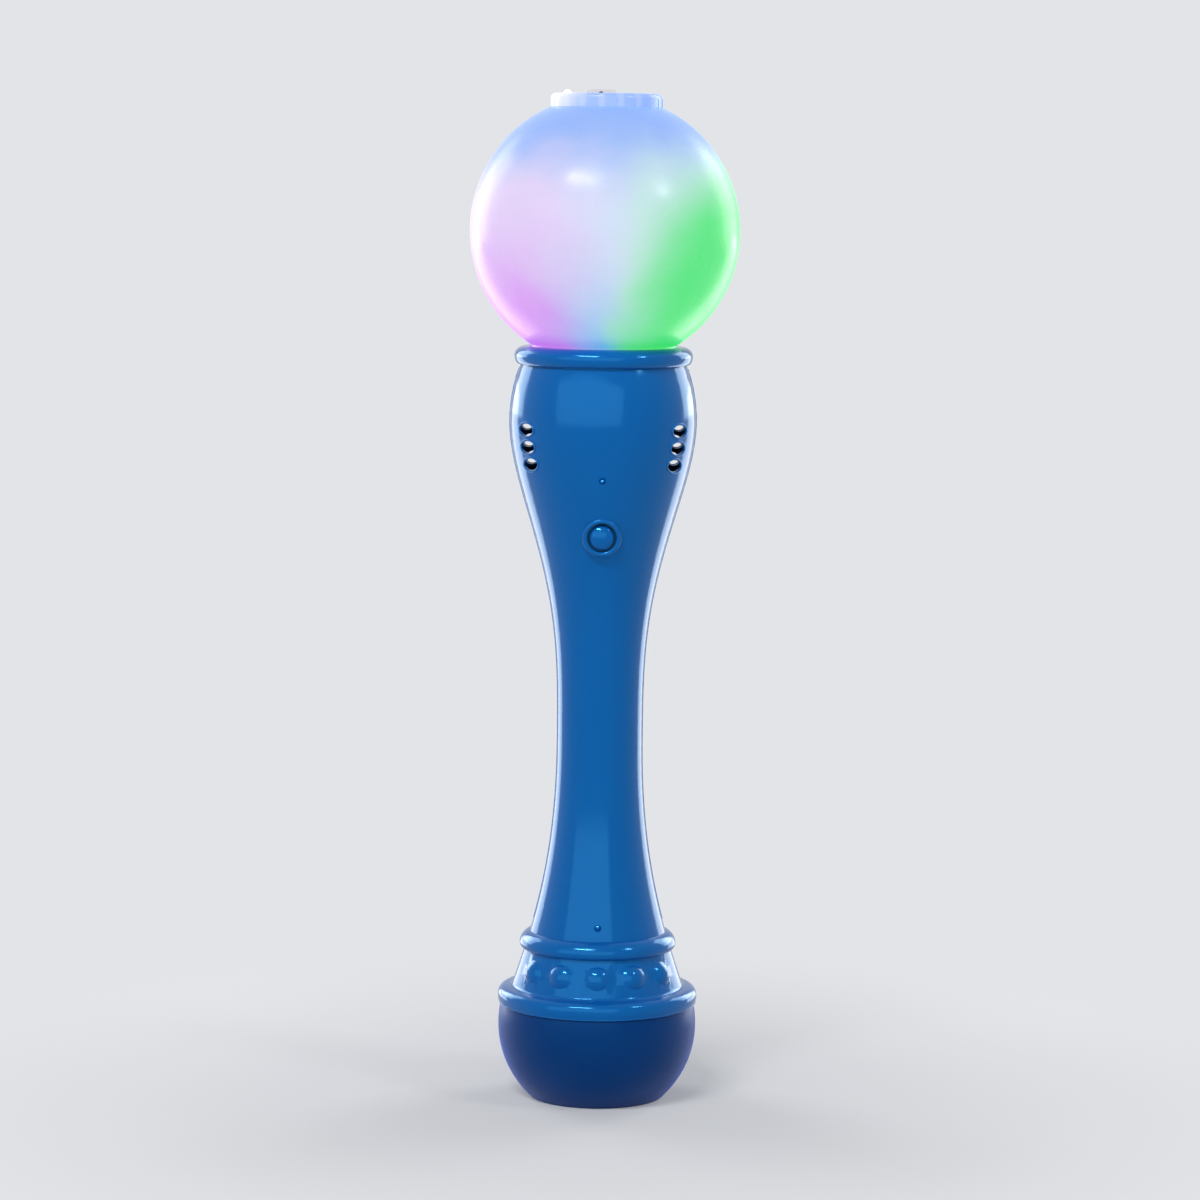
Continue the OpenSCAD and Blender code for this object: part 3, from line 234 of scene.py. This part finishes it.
# The globe's milky wall, with the light of the LEDs inside painted on as glow: violet on the left,
# green on the right, blue above and between. Places on it are shares of the globe's radius: u to the
# right, v up
GLOBE_Z = 0.2951
GLOBE_R = 0.0454
HAZE_SCALE, HAZE = 24, 0.7
GREEN_SLANT = 0.35
RIB_COUNT, RIB_GLOW = 18, 0.22
NOZZLE_LED = (-0.0130, -0.0063, 0.342)
LED_NEAR, LED_FAR = 0.004, 0.015
GLOW = {
    "middle": srgb(206, 222, 246),
    "top": srgb(126, 172, 250),
    "low": srgb(132, 196, 244),
    "lilac": srgb(228, 208, 248),
    "violet": srgb(218, 140, 246),
    "highlight_halo": srgb(190, 236, 222),
    "green": srgb(58, 236, 112),
    "foot_violet": srgb(196, 104, 236),
    "foot_blue": srgb(92, 168, 236),
    "foot_green": srgb(52, 228, 96),
    "rib": srgb(222, 230, 252),
    "led": srgb(246, 248, 255),
}


def lit_wall(name, strength, base, rough, ribbed=False):
    m, nt, bsdf, at = shader(name)
    axes = nt.nodes.new("ShaderNodeSeparateXYZ")
    nt.links.new(at, axes.inputs["Vector"])
    cloud = math_node(nt, "SUBTRACT", noise(nt, at, HAZE_SCALE), 0.5)
    haze = math_node(nt, "MULTIPLY", cloud, HAZE)
    u = math_node(nt, "ADD", math_node(nt, "DIVIDE", axes.outputs["X"], GLOBE_R), haze)
    height = math_node(nt, "SUBTRACT", axes.outputs["Z"], GLOBE_Z)
    height = math_node(nt, "DIVIDE", height, GLOBE_R)
    v = math_node(nt, "ADD", height, haze)
    glow = mix(nt, remap(nt, v, 0.1, 0.85, 0, 1), GLOW["middle"], GLOW["top"])
    glow = mix(nt, remap(nt, v, -0.1, -0.85, 0, 1), glow, GLOW["low"])
    lilac = mix(nt, remap(nt, v, 0.25, -0.7, 0, 1), GLOW["lilac"], GLOW["violet"])
    violet = remap(nt, u, 0.1, -0.55, 0, 1)
    violet = math_node(nt, "MULTIPLY", violet, remap(nt, v, 0.15, 0.8, 1, 0.05))
    glow = mix(nt, violet, glow, lilac)
    # Painted glow and the painted halo of the key light's highlight: a whitish patch right of the
    # centre
    highlight_halo = remap(nt, u, 0, 0.3, 0, 0.8)
    highlight_halo = math_node(nt, "MULTIPLY", highlight_halo, remap(nt, v, 0.75, 0.2, 0, 1))
    glow = mix(nt, highlight_halo, glow, GLOW["highlight_halo"])
    slant = math_node(nt, "SUBTRACT", u, math_node(nt, "MULTIPLY", v, GREEN_SLANT))
    green = remap(nt, slant, 0.18, 0.72, 0, 1)
    green = math_node(nt, "MULTIPLY", green, remap(nt, v, 0, 0.6, 1, 0.06))
    glow = mix(nt, green, glow, GLOW["green"])
    # Painted light of the LEDs at the foot: deeper violet, blue and green in the lowest band of the
    # wall
    deep = mix(nt, remap(nt, u, -0.3, 0, 0, 1), GLOW["foot_violet"], GLOW["foot_blue"])
    deep = mix(nt, remap(nt, u, 0, 0.3, 0, 1), deep, GLOW["foot_green"])
    glow = mix(nt, remap(nt, height, -0.74, -0.86, 0, 0.75), glow, deep)
    # Painted light on the collar: pale stripes along its ribs, and a painted pool of light round the
    # nozzle LED
    if ribbed:
        turn = math_node(nt, "ARCTAN2", axes.outputs["X"], axes.outputs["Y"])
        ribs = math_node(nt, "SINE", math_node(nt, "MULTIPLY", turn, RIB_COUNT))
        glow = mix(nt, remap(nt, ribs, 0, 1, 0, RIB_GLOW), glow, GLOW["rib"])
        gap = nt.nodes.new("ShaderNodeVectorMath")
        gap.operation = "DISTANCE"
        gap.inputs[1].default_value = NOZZLE_LED
        nt.links.new(at, gap.inputs[0])
        near = remap(nt, gap.outputs["Value"], LED_FAR, LED_NEAR, 0, 1)
        glow = mix(nt, near, glow, GLOW["led"])
    two_tone(nt, bsdf, noise(nt, at, 40), shade(base, 0.94), shade(base, 1.06))
    uneven_gloss(nt, bsdf, noise(nt, at, 120, 4), rough * 0.85, rough * 1.2)
    nt.links.new(glow, bsdf.inputs["Emission Color"])
    bsdf.inputs["Emission Strength"].default_value = strength
    bsdf.inputs["Specular IOR Level"].default_value = 0.28
    bump(nt, bsdf, noise(nt, at, 700, 2), 0.03, SKIN_DEPTH)
    return m


GLOSS_TINT = (0.11, 0.57, 1)
SATIN_TINT = (0.15, 0.45, 0.9)
finishes = {
    "shell_blue": moulded(
        "shell_blue", srgb(0, 89, 168), 0.12, drift=0.05, skin=0.015, wear=0.12, ior=1.75,
        tint=GLOSS_TINT,
    ),
    "tank_blue": moulded(
        "tank_blue", srgb(0, 52, 114), 0.34, drift=0.06, skin=0.08, grain=1400, wear=0.1,
        tint=SATIN_TINT,
    ),
    "milk": moulded("milk", srgb(226, 230, 242), 0.25, drift=0.03),
    "cream": moulded("cream", srgb(228, 221, 214), 0.35, drift=0.05),
    "nylon": moulded("nylon", srgb(228, 222, 202), 0.45, drift=0.05, skin=0.1),
    "dark_plastic": moulded("dark_plastic", srgb(30, 30, 33), 0.5, drift=0.15, skin=0.12),
    "steel": metal("steel", srgb(196, 198, 202), 0.28, (1, 1, 12)),
    "brass": metal("brass", srgb(214, 176, 96), 0.3, (1, 1, 6)),
    "board": board("board", srgb(24, 92, 52)),
    "tubing": tubing("tubing", srgb(226, 236, 238)),
    "seal": moulded("seal", srgb(190, 92, 78), 0.6, drift=0.1, skin=0.15),
    "cell": metal("cell", srgb(190, 150, 70), 0.35, (8, 8, 1)),
    "wire": moulded("wire", srgb(176, 28, 26), 0.4, drift=0.1),
    "led_violet": lamp("led_violet", srgb(190, 130, 240), 2),
    "led_blue": lamp("led_blue", srgb(130, 180, 250), 2),
    "led_green": lamp("led_green", srgb(110, 240, 140), 2),
    "led_clear": lamp("led_clear", srgb(225, 235, 255), 6),
}
tank_shader = finishes["tank_blue"].node_tree.nodes["Principled BSDF"]
tank_shader.inputs["Sheen Weight"].default_value = 0.5
tank_shader.inputs["Sheen Roughness"].default_value = 0.35
tank_shader.inputs["Sheen Tint"].default_value = srgb(48, 104, 250)
special = {
    "globe": lit_wall("globe_wall", 0.86, srgb(92, 92, 102), 0.27),
    "nozzle_ring": lit_wall("nozzle_wall", 0.75, srgb(128, 134, 160), 0.2, ribbed=True),
}


# The CAD pieces: a material each, and smooth shading up to their sharp edges
WELD = 1e-6
SHARP_CAD, SHARP_TRIM, SHARP_SCREW = math.radians(32), math.radians(40), math.radians(30)
slot_of = {s["node"]: s["material_slot"] for s in frame["record"]["subparts"]}
for name, obj in nodes.items():
    material = special.get(name) or finishes[slot_of[name]]
    if not obj.material_slots:
        obj.data.materials.append(material)
    for s in obj.material_slots:
        s.material = material
    obj.data.shade_smooth()
    weld = obj.modifiers.new("weld", "WELD")
    weld.merge_threshold = WELD
    split = obj.modifiers.new("split", "EDGE_SPLIT")
    split.split_angle = SHARP_CAD
    split.use_edge_sharp = False


# Outline of the handle in the source, in metres
WAIST_Z, WAIST_R = 0.1242, 0.01445
BOWL_Z, BOWL_R, BOWL_POWER = 0.2315, 0.0315, 1.58
FOOT_Z, FOOT_R, FOOT_POWER = 0.0572, 0.0231, 2.25
SHOULDER_Z, SHOULDER_R = 0.2501, 0.0281


def body_r(z):
    if z < WAIST_Z:
        return WAIST_R + (FOOT_R - WAIST_R) * ((WAIST_Z - z) / (WAIST_Z - FOOT_Z)) ** FOOT_POWER
    if z < BOWL_Z:
        t = ((z - WAIST_Z) / (BOWL_Z - WAIST_Z)) ** BOWL_POWER
        return WAIST_R + (BOWL_R - WAIST_R) * t * t * (3 - 2 * t)
    return BOWL_R + (SHOULDER_R - BOWL_R) * ((z - BOWL_Z) / (SHOULDER_Z - BOWL_Z)) ** 2


# Pieces that are too fine for the source
X_AXIS, Y_AXIS, Z_AXIS = Vector((1, 0, 0)), Vector((0, 1, 0)), Vector((0, 0, 1))


def piece(name, mesh, body, slot, sharp=SHARP_TRIM):
    mesh.validate()
    mesh.shade_smooth()
    mesh.set_sharp_from_angle(angle=sharp)
    mesh.materials.append(finishes[slot])
    obj = bpy.data.objects.new(name, mesh)
    scene.collection.objects.link(obj)
    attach(obj, body)
    return obj


def angles(steps):
    return [2 * math.pi * k / steps for k in range(steps)]


def mesh_from(name, bm):
    """The mesh of a bmesh, with its faces turned outwards."""
    bmesh.ops.recalc_face_normals(bm, faces=bm.faces)
    mesh = bpy.data.meshes.new(name)
    bm.to_mesh(mesh)
    bm.free()
    return mesh


def join(bm, rings):
    for a, b in zip(rings, rings[1:]):
        for k in range(len(a)):
            n = (k + 1) % len(a)
            bm.faces.new((a[k], a[n], b[n], b[k]))


def lathe(bm, at, profile, steps):
    """A surface round the y axis through a point, closed at its last ring; profile has (r, y)."""
    rings = [
        [bm.verts.new(at + Vector((r * math.cos(a), y, r * math.sin(a)))) for a in angles(steps)]
        for r, y in profile
    ]
    join(bm, rings)
    bm.faces.new(rings[-1])
    return rings


def tube_mesh(name, tubes, sides, closed):
    """Each tube is a list of rings along it, each with (centre, radius, side, up)."""
    bm = bmesh.new()
    for tube in tubes:
        rings = []
        for centre, r, side, up in tube:
            rings.append([
                bm.verts.new(centre + side * (r * math.cos(a)) + up * (r * math.sin(a)))
                for a in angles(sides)
            ])
        if closed:
            join(bm, rings + rings[:1])
        else:
            join(bm, rings)
            bm.faces.new(rings[0])
            bm.faces.new(rings[-1])
    return mesh_from(name, bm)


VENT_R, VENT_PITCH, VENT_DROP, VENT_INSET = 0.0022, 0.0058, 0.008, 0.006
TRIM_R, TRIM_SIDES, VENT_STEPS = 0.0004, 10, 48
for name, face in (("vent_rims_front", -1), ("vent_rims_back", 1)):
    tubes = []
    for row in (-1, 0, 1):
        for side in (-1, 1):
            z0 = BOWL_Z - VENT_DROP + row * VENT_PITCH
            x0 = side * (body_r(z0) - VENT_INSET)
            tube = []
            for a in angles(VENT_STEPS):
                out = Vector((math.cos(a), 0, math.sin(a)))
                x = x0 + (VENT_R + TRIM_R / 2) * out.x
                z = z0 + (VENT_R + TRIM_R / 2) * out.z
                y = face * math.sqrt(body_r(z) ** 2 - x * x)
                tube.append((Vector((x, y, z)), TRIM_R, out, Y_AXIS))
            tubes.append(tube)
    piece(name, tube_mesh(name, tubes, TRIM_SIDES, True), "handle", "shell_blue")


# The broken-off gate in each moulding mark: a small flat dome that faces up and to the left
GATE_R, GATE_T, GATE_SINK = 0.00075, 0.00013, 0.0007
GATE_FACING = Vector((-0.15, -0.865, 0.48)).normalized()
MARK_DROP, MARK_RISE = 0.0185, 0.0046
bm = bmesh.new()
for z in (BOWL_Z - MARK_DROP, FOOT_Z + MARK_RISE):
    nub = Vector((0, GATE_SINK - body_r(z), z)) + GATE_FACING * GATE_SINK
    dome = Matrix.Translation(nub) @ GATE_FACING.to_track_quat("Z", "Y").to_matrix().to_4x4()
    dome = dome @ Matrix.Diagonal((GATE_R, GATE_R, GATE_T, 1))
    bmesh.ops.create_uvsphere(bm, u_segments=24, v_segments=16, radius=1, matrix=dome)
piece("gate_domes", mesh_from("gate_domes", bm), "handle", "shell_blue")


# The moulding line where the two shells meet
SEAM_R, SEAM_RISE, SEAM_SHORT, SEAM_STEPS, SEAM_SIDES = 0.00016, 0.004, 0.005, 60, 8
tubes = []
for side in (-1, 1):
    tube = []
    for k in range(SEAM_STEPS + 1):
        z = FOOT_Z + SEAM_RISE + (SHOULDER_Z - FOOT_Z - SEAM_SHORT) * k / SEAM_STEPS
        tube.append((Vector((side * body_r(z), 0, z)), SEAM_R, X_AXIS, Y_AXIS))
    tubes.append(tube)
piece("parting_line", tube_mesh("parting_line", tubes, SEAM_SIDES, False), "handle", "shell_blue")


# A fine lip along the lower edge of the rim
RIM_LIP_R, RIM_LIP_Z, RIM_LIP_STEPS = 0.03335, 0.03264, 128
tube = []
for a in angles(RIM_LIP_STEPS):
    out = Vector((math.cos(a), math.sin(a), 0))
    tube.append((out * RIM_LIP_R + Vector((0, 0, RIM_LIP_Z)), TRIM_R, out, Z_AXIS))
piece("rim_lip", tube_mesh("rim_lip", [tube], TRIM_SIDES, True), "handle", "shell_blue")


# Screws with a cross recess and a thread, for the ones that show
SCREW_R, HEAD_R, HEAD_T, HEAD_Y, SCREW_LEN, SCREW_STEPS = 0.00115, 0.0023, 0.0017, 0.0045, 0.011, 36
ROOT_R, TIP_R, SCREW_PITCH = 0.8 * SCREW_R, 0.3 * SCREW_R, 0.5 * SCREW_R
CROSS_ARM, CROSS_HALF = 0.56 * HEAD_R, 0.15 * HEAD_R
CROSS_DEPTH, CROSS_TAPER = 0.55 * HEAD_T, 0.7
HEAD_PROFILE = [
    (0.74 * HEAD_R, 0), (0.9 * HEAD_R, -0.12 * HEAD_T), (HEAD_R, -0.42 * HEAD_T), (HEAD_R, -HEAD_T)
]
CROSS = [
    (CROSS_HALF, CROSS_HALF), (CROSS_HALF, CROSS_ARM), (-CROSS_HALF, CROSS_ARM),
    (-CROSS_HALF, CROSS_HALF), (-CROSS_ARM, CROSS_HALF), (-CROSS_ARM, -CROSS_HALF),
    (-CROSS_HALF, -CROSS_HALF), (-CROSS_HALF, -CROSS_ARM), (CROSS_HALF, -CROSS_ARM),
    (CROSS_HALF, -CROSS_HALF), (CROSS_ARM, -CROSS_HALF), (CROSS_ARM, CROSS_HALF),
]


def screw_mesh(name, places, length):
    profile = list(HEAD_PROFILE)
    y = -HEAD_T
    while y > -HEAD_T - length + 2 * SCREW_PITCH:
        profile += [(ROOT_R, y), (SCREW_R, y - SCREW_PITCH / 2)]
        y -= SCREW_PITCH
    profile += [(ROOT_R, y), (TIP_R, -HEAD_T - length)]
    bm = bmesh.new()
    for place in places:
        at = Vector(place)
        edge = lathe(bm, at, profile, SCREW_STEPS)[0]
        top = [bm.verts.new(at + Vector((x, 0, z))) for x, z in CROSS]
        low = [
            bm.verts.new(at + Vector((CROSS_TAPER * x, -CROSS_DEPTH, CROSS_TAPER * z)))
            for x, z in CROSS
        ]
        flat = edge + top
        outlines = [[Vector((v.co.x, v.co.z, 0)) for v in outline] for outline in (edge, top)]
        for tri in tessellate_polygon(outlines):
            bm.faces.new([flat[i] for i in tri])
        join(bm, [top, low])
        bm.faces.new(low)
    return mesh_from(name, bm)


WALL, BOSS_R, BOSS_INSET = 0.002, 0.00335, 0.0013
FOOT_SCREW_RISE, BOWL_SCREW_DROP, BOWL_SCREW_RISE = 0.0048, 0.0235, 0.009
places = []
for z in (FOOT_Z + FOOT_SCREW_RISE, BOWL_Z - BOWL_SCREW_DROP, BOWL_Z + BOWL_SCREW_RISE):
    for side in (-1, 1):
        places.append((side * (body_r(z) - WALL - BOSS_R - BOSS_INSET), HEAD_Y + HEAD_T, z))
mesh = screw_mesh("housing_screws_cut", places, SCREW_LEN)
screws = piece("housing_screws_cut", mesh, "handle", "steel", SHARP_SCREW)
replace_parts(screws, "housing_screws")
low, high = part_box("door_screw")
place = ((low[0] + high[0]) / 2, high[1], (low[2] + high[2]) / 2)
mesh = screw_mesh("door_screw_cut", [place], high[1] - low[1] - HEAD_T)
door_screw = piece("door_screw_cut", mesh, "door_unit", "steel", SHARP_SCREW)
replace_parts(door_screw, "door_screw")


# The button with a fuller dome and a softer shoulder than the plain one of the source
CAP_R, CAP_ROUND, CAP_SLOPE, CAP_FLANGE = 0.0041, 0.0014, 0.55, 0.0012
CAP_STEPS, DOME_STEPS, ROUND_STEPS = 72, 14, 12
low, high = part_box("button")
face_r = CAP_R - CAP_ROUND * (1 - math.sin(CAP_SLOPE))
dome_r = face_r / math.sin(CAP_SLOPE)
profile = []
for k in range(1, DOME_STEPS + 1):
    a = CAP_SLOPE * k / DOME_STEPS
    profile.append((dome_r * math.sin(a), dome_r * (1 - math.cos(a))))
shoulder = profile[-1]
for k in range(1, ROUND_STEPS + 1):
    a = CAP_SLOPE + (math.pi / 2 - CAP_SLOPE) * k / ROUND_STEPS
    over = CAP_ROUND * (math.sin(a) - math.sin(CAP_SLOPE))
    down = CAP_ROUND * (math.cos(CAP_SLOPE) - math.cos(a))
    profile.append((shoulder[0] + over, shoulder[1] + down))
back = high[1] - low[1]
profile += [(CAP_R, back - CAP_FLANGE), (high[0], back - CAP_FLANGE), (high[0], back)]
middle = Vector((0, low[1], (low[2] + high[2]) / 2))
bm = bmesh.new()
edge = lathe(bm, middle, profile, CAP_STEPS)[0]
top = bm.verts.new(middle)
for k in range(CAP_STEPS):
    bm.faces.new((top, edge[(k + 1) % CAP_STEPS], edge[k]))
mesh = mesh_from("button_cap", bm)
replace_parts(piece("button_cap", mesh, "button_unit", "shell_blue"), "button")


# Grip ridges on the battery door
GRIP_COUNT, GRIP_LOW, GRIP_PITCH, GRIP_R = 5, 0.014, 0.0026, 0.0005
GRIP_SPAN, GRIP_NARROWS, GRIP_POINTS, GRIP_FADE = 0.0048, 0.0005, 17, 0.4
low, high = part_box("battery_door")
tubes = []
for i in range(GRIP_COUNT):
    z = low[2] + GRIP_LOW + GRIP_PITCH * i
    r = body_r(z)
    span = GRIP_SPAN - GRIP_NARROWS * i
    tube = []
    for k in range(GRIP_POINTS):
        x = -span + 2 * span * k / (GRIP_POINTS - 1)
        y = math.sqrt(r * r - x * x)
        fade = math.sin(math.pi * (k + 0.5) / GRIP_POINTS) ** GRIP_FADE
        tube.append((Vector((x, y, z)), GRIP_R * fade, Z_AXIS, Vector((x, y, 0)).normalized()))
    tubes.append(tube)
piece("door_grip", tube_mesh("door_grip", tubes, TRIM_SIDES, False), "door_unit", "shell_blue")


# The thread on the tank's neck
NECK_R, THREAD_PITCH, THREAD_LOW, THREAD_TURNS = 0.0206, 0.006, 0.0334, 0.9
THREAD_SINK, THREAD_END_R, THREAD_SWELL, THREAD_FADE = 0.0003, 0.0002, 0.0003, 8
THREAD_STEPS, THREAD_SIDES = 96, 12
tube = []
for k in range(THREAD_STEPS + 1):
    t = k / THREAD_STEPS
    a = 2 * math.pi * t * THREAD_TURNS
    out = Vector((math.cos(a), math.sin(a), 0))
    rise = Vector((0, 0, THREAD_LOW + THREAD_PITCH * t * THREAD_TURNS))
    fade = min(1, THREAD_FADE * t, THREAD_FADE * (1 - t))
    r = THREAD_END_R + THREAD_SWELL * fade
    tube.append((out * (NECK_R - THREAD_SINK) + rise, r, out, Z_AXIS))
piece("tank_thread", tube_mesh("tank_thread", [tube], THREAD_SIDES, False), "tank_unit", "tank_blue")


# Studio: a pale floor that curves up behind, a front light with a wide panel under it, two strips
# and two low cards behind the sides, and a small key
FLOOR_SIDE, FLOOR_FRONT, FLOOR_DEPTH, FLOOR_BEND, FLOOR_TOP = 9, -9.0, 1.6, 0.6, 3.2
FLOOR_STEP, FLOOR_STEPS, BEND_STEPS = 0.1, 16, 12
PALE_FROM, PALE_TO, PALE_LEAST = 0.04, 0.27, 0.2
AIR_COLOUR, AIR_LIGHT, AIR_SEEN = (0.884, 0.902, 0.938, 1), 0.13, 0.86
LIGHTS = [
    ("front_fill", (-0.52, -1.15, 1.55), (0, 0, 0.18), (0.74, 0.18), 16.5),
    ("wide_panel", (-0.4, -1.25, 0.55), (0, 0, 0.2), (2.4, 0.85), 6),
    ("left_strip", (-0.84, 0.78, 0.6), (0, 0, 0.6), (0.62, 0.8), 4.8),
    ("right_strip", (0.84, 0.78, 0.6), (0, 0, 0.6), (0.62, 0.8), 4.8),
    ("left_card", (-0.231, 0.256, 0.125), (0, 0, 0.32), (0.16, 0.34), 0.42),
    ("right_card", (0.231, 0.256, 0.125), (0, 0, 0.32), (0.16, 0.34), 0.42),
    ("key", (0.63, -0.42, 0.78), (0, 0, 0.29), (0.14, 0.14), 1.4),
]


def floor_paper():
    """Paper near the wand, and the plain pale background away from it."""
    m, nt, bsdf, at = shader("floor_paper")
    two_tone(nt, bsdf, noise(nt, at, 3, 2), srgb(208, 209, 212), srgb(214, 215, 218))
    bsdf.inputs["Roughness"].default_value = 0.9
    pale = nt.nodes.new("ShaderNodeEmission")
    pale.inputs["Color"].default_value = srgb(226, 228, 232)
    reach = nt.nodes.new("ShaderNodeVectorMath")
    reach.operation = "LENGTH"
    nt.links.new(at, reach.inputs[0])
    far = remap(nt, reach.outputs["Value"], PALE_FROM, PALE_TO, PALE_LEAST, 1)
    blend = nt.nodes.new("ShaderNodeMixShader")
    nt.links.new(math_node(nt, "MULTIPLY", seen_rays(nt), far), blend.inputs["Fac"])
    nt.links.new(bsdf.outputs["BSDF"], blend.inputs[1])
    nt.links.new(pale.outputs["Emission"], blend.inputs[2])
    nt.links.new(blend.outputs["Shader"], nt.nodes["Material Output"].inputs["Surface"])
    return m


def sweep_floor():
    profile = [(FLOOR_FRONT, 0)] + [(FLOOR_STEP * i, 0) for i in range(FLOOR_STEPS + 1)]
    for i in range(BEND_STEPS + 1):
        a = math.pi / 2 * i / BEND_STEPS
        profile.append((FLOOR_DEPTH + FLOOR_BEND * math.sin(a), FLOOR_BEND * (1 - math.cos(a))))
    profile.append((FLOOR_DEPTH + FLOOR_BEND, FLOOR_TOP))
    verts = [(x, y, z) for y, z in profile for x in (-FLOOR_SIDE, FLOOR_SIDE)]
    faces = [(a, a + 1, a + 3, a + 2) for a in range(0, len(verts) - 2, 2)]
    mesh = bpy.data.meshes.new("studio_floor")
    mesh.from_pydata(verts, [], faces)
    mesh.shade_smooth()
    mesh.materials.append(floor_paper())
    obj = bpy.data.objects.new("studio_floor", mesh)
    scene.collection.objects.link(obj)
    # The floor follows the tank down when it is unscrewed, so that the wand always stands on it
    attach(obj, "seal_unit")


def softbox(name, place, target, size, power):
    light = bpy.data.lights.new(name, "AREA")
    light.shape = "RECTANGLE"
    light.size, light.size_y = size
    light.energy = power
    obj = bpy.data.objects.new(name, light)
    scene.collection.objects.link(obj)
    aim = Vector(target) - Vector(place)
    turned = aim.to_track_quat("-Z", "Y").to_matrix().to_4x4()
    obj.matrix_world = Matrix.Translation(place) @ turned
    obj.visible_camera = False


sweep_floor()
for light in LIGHTS:
    softbox(*light)
world = bpy.data.worlds.new("studio")
scene.world = world
world.use_nodes = True
sky = world.node_tree
air = sky.nodes["Background"]
air.inputs["Color"].default_value = AIR_COLOUR
strength = remap(sky, seen_rays(sky), 0, 1, AIR_LIGHT, AIR_SEEN, smooth=False)
sky.links.new(strength, air.inputs["Strength"])
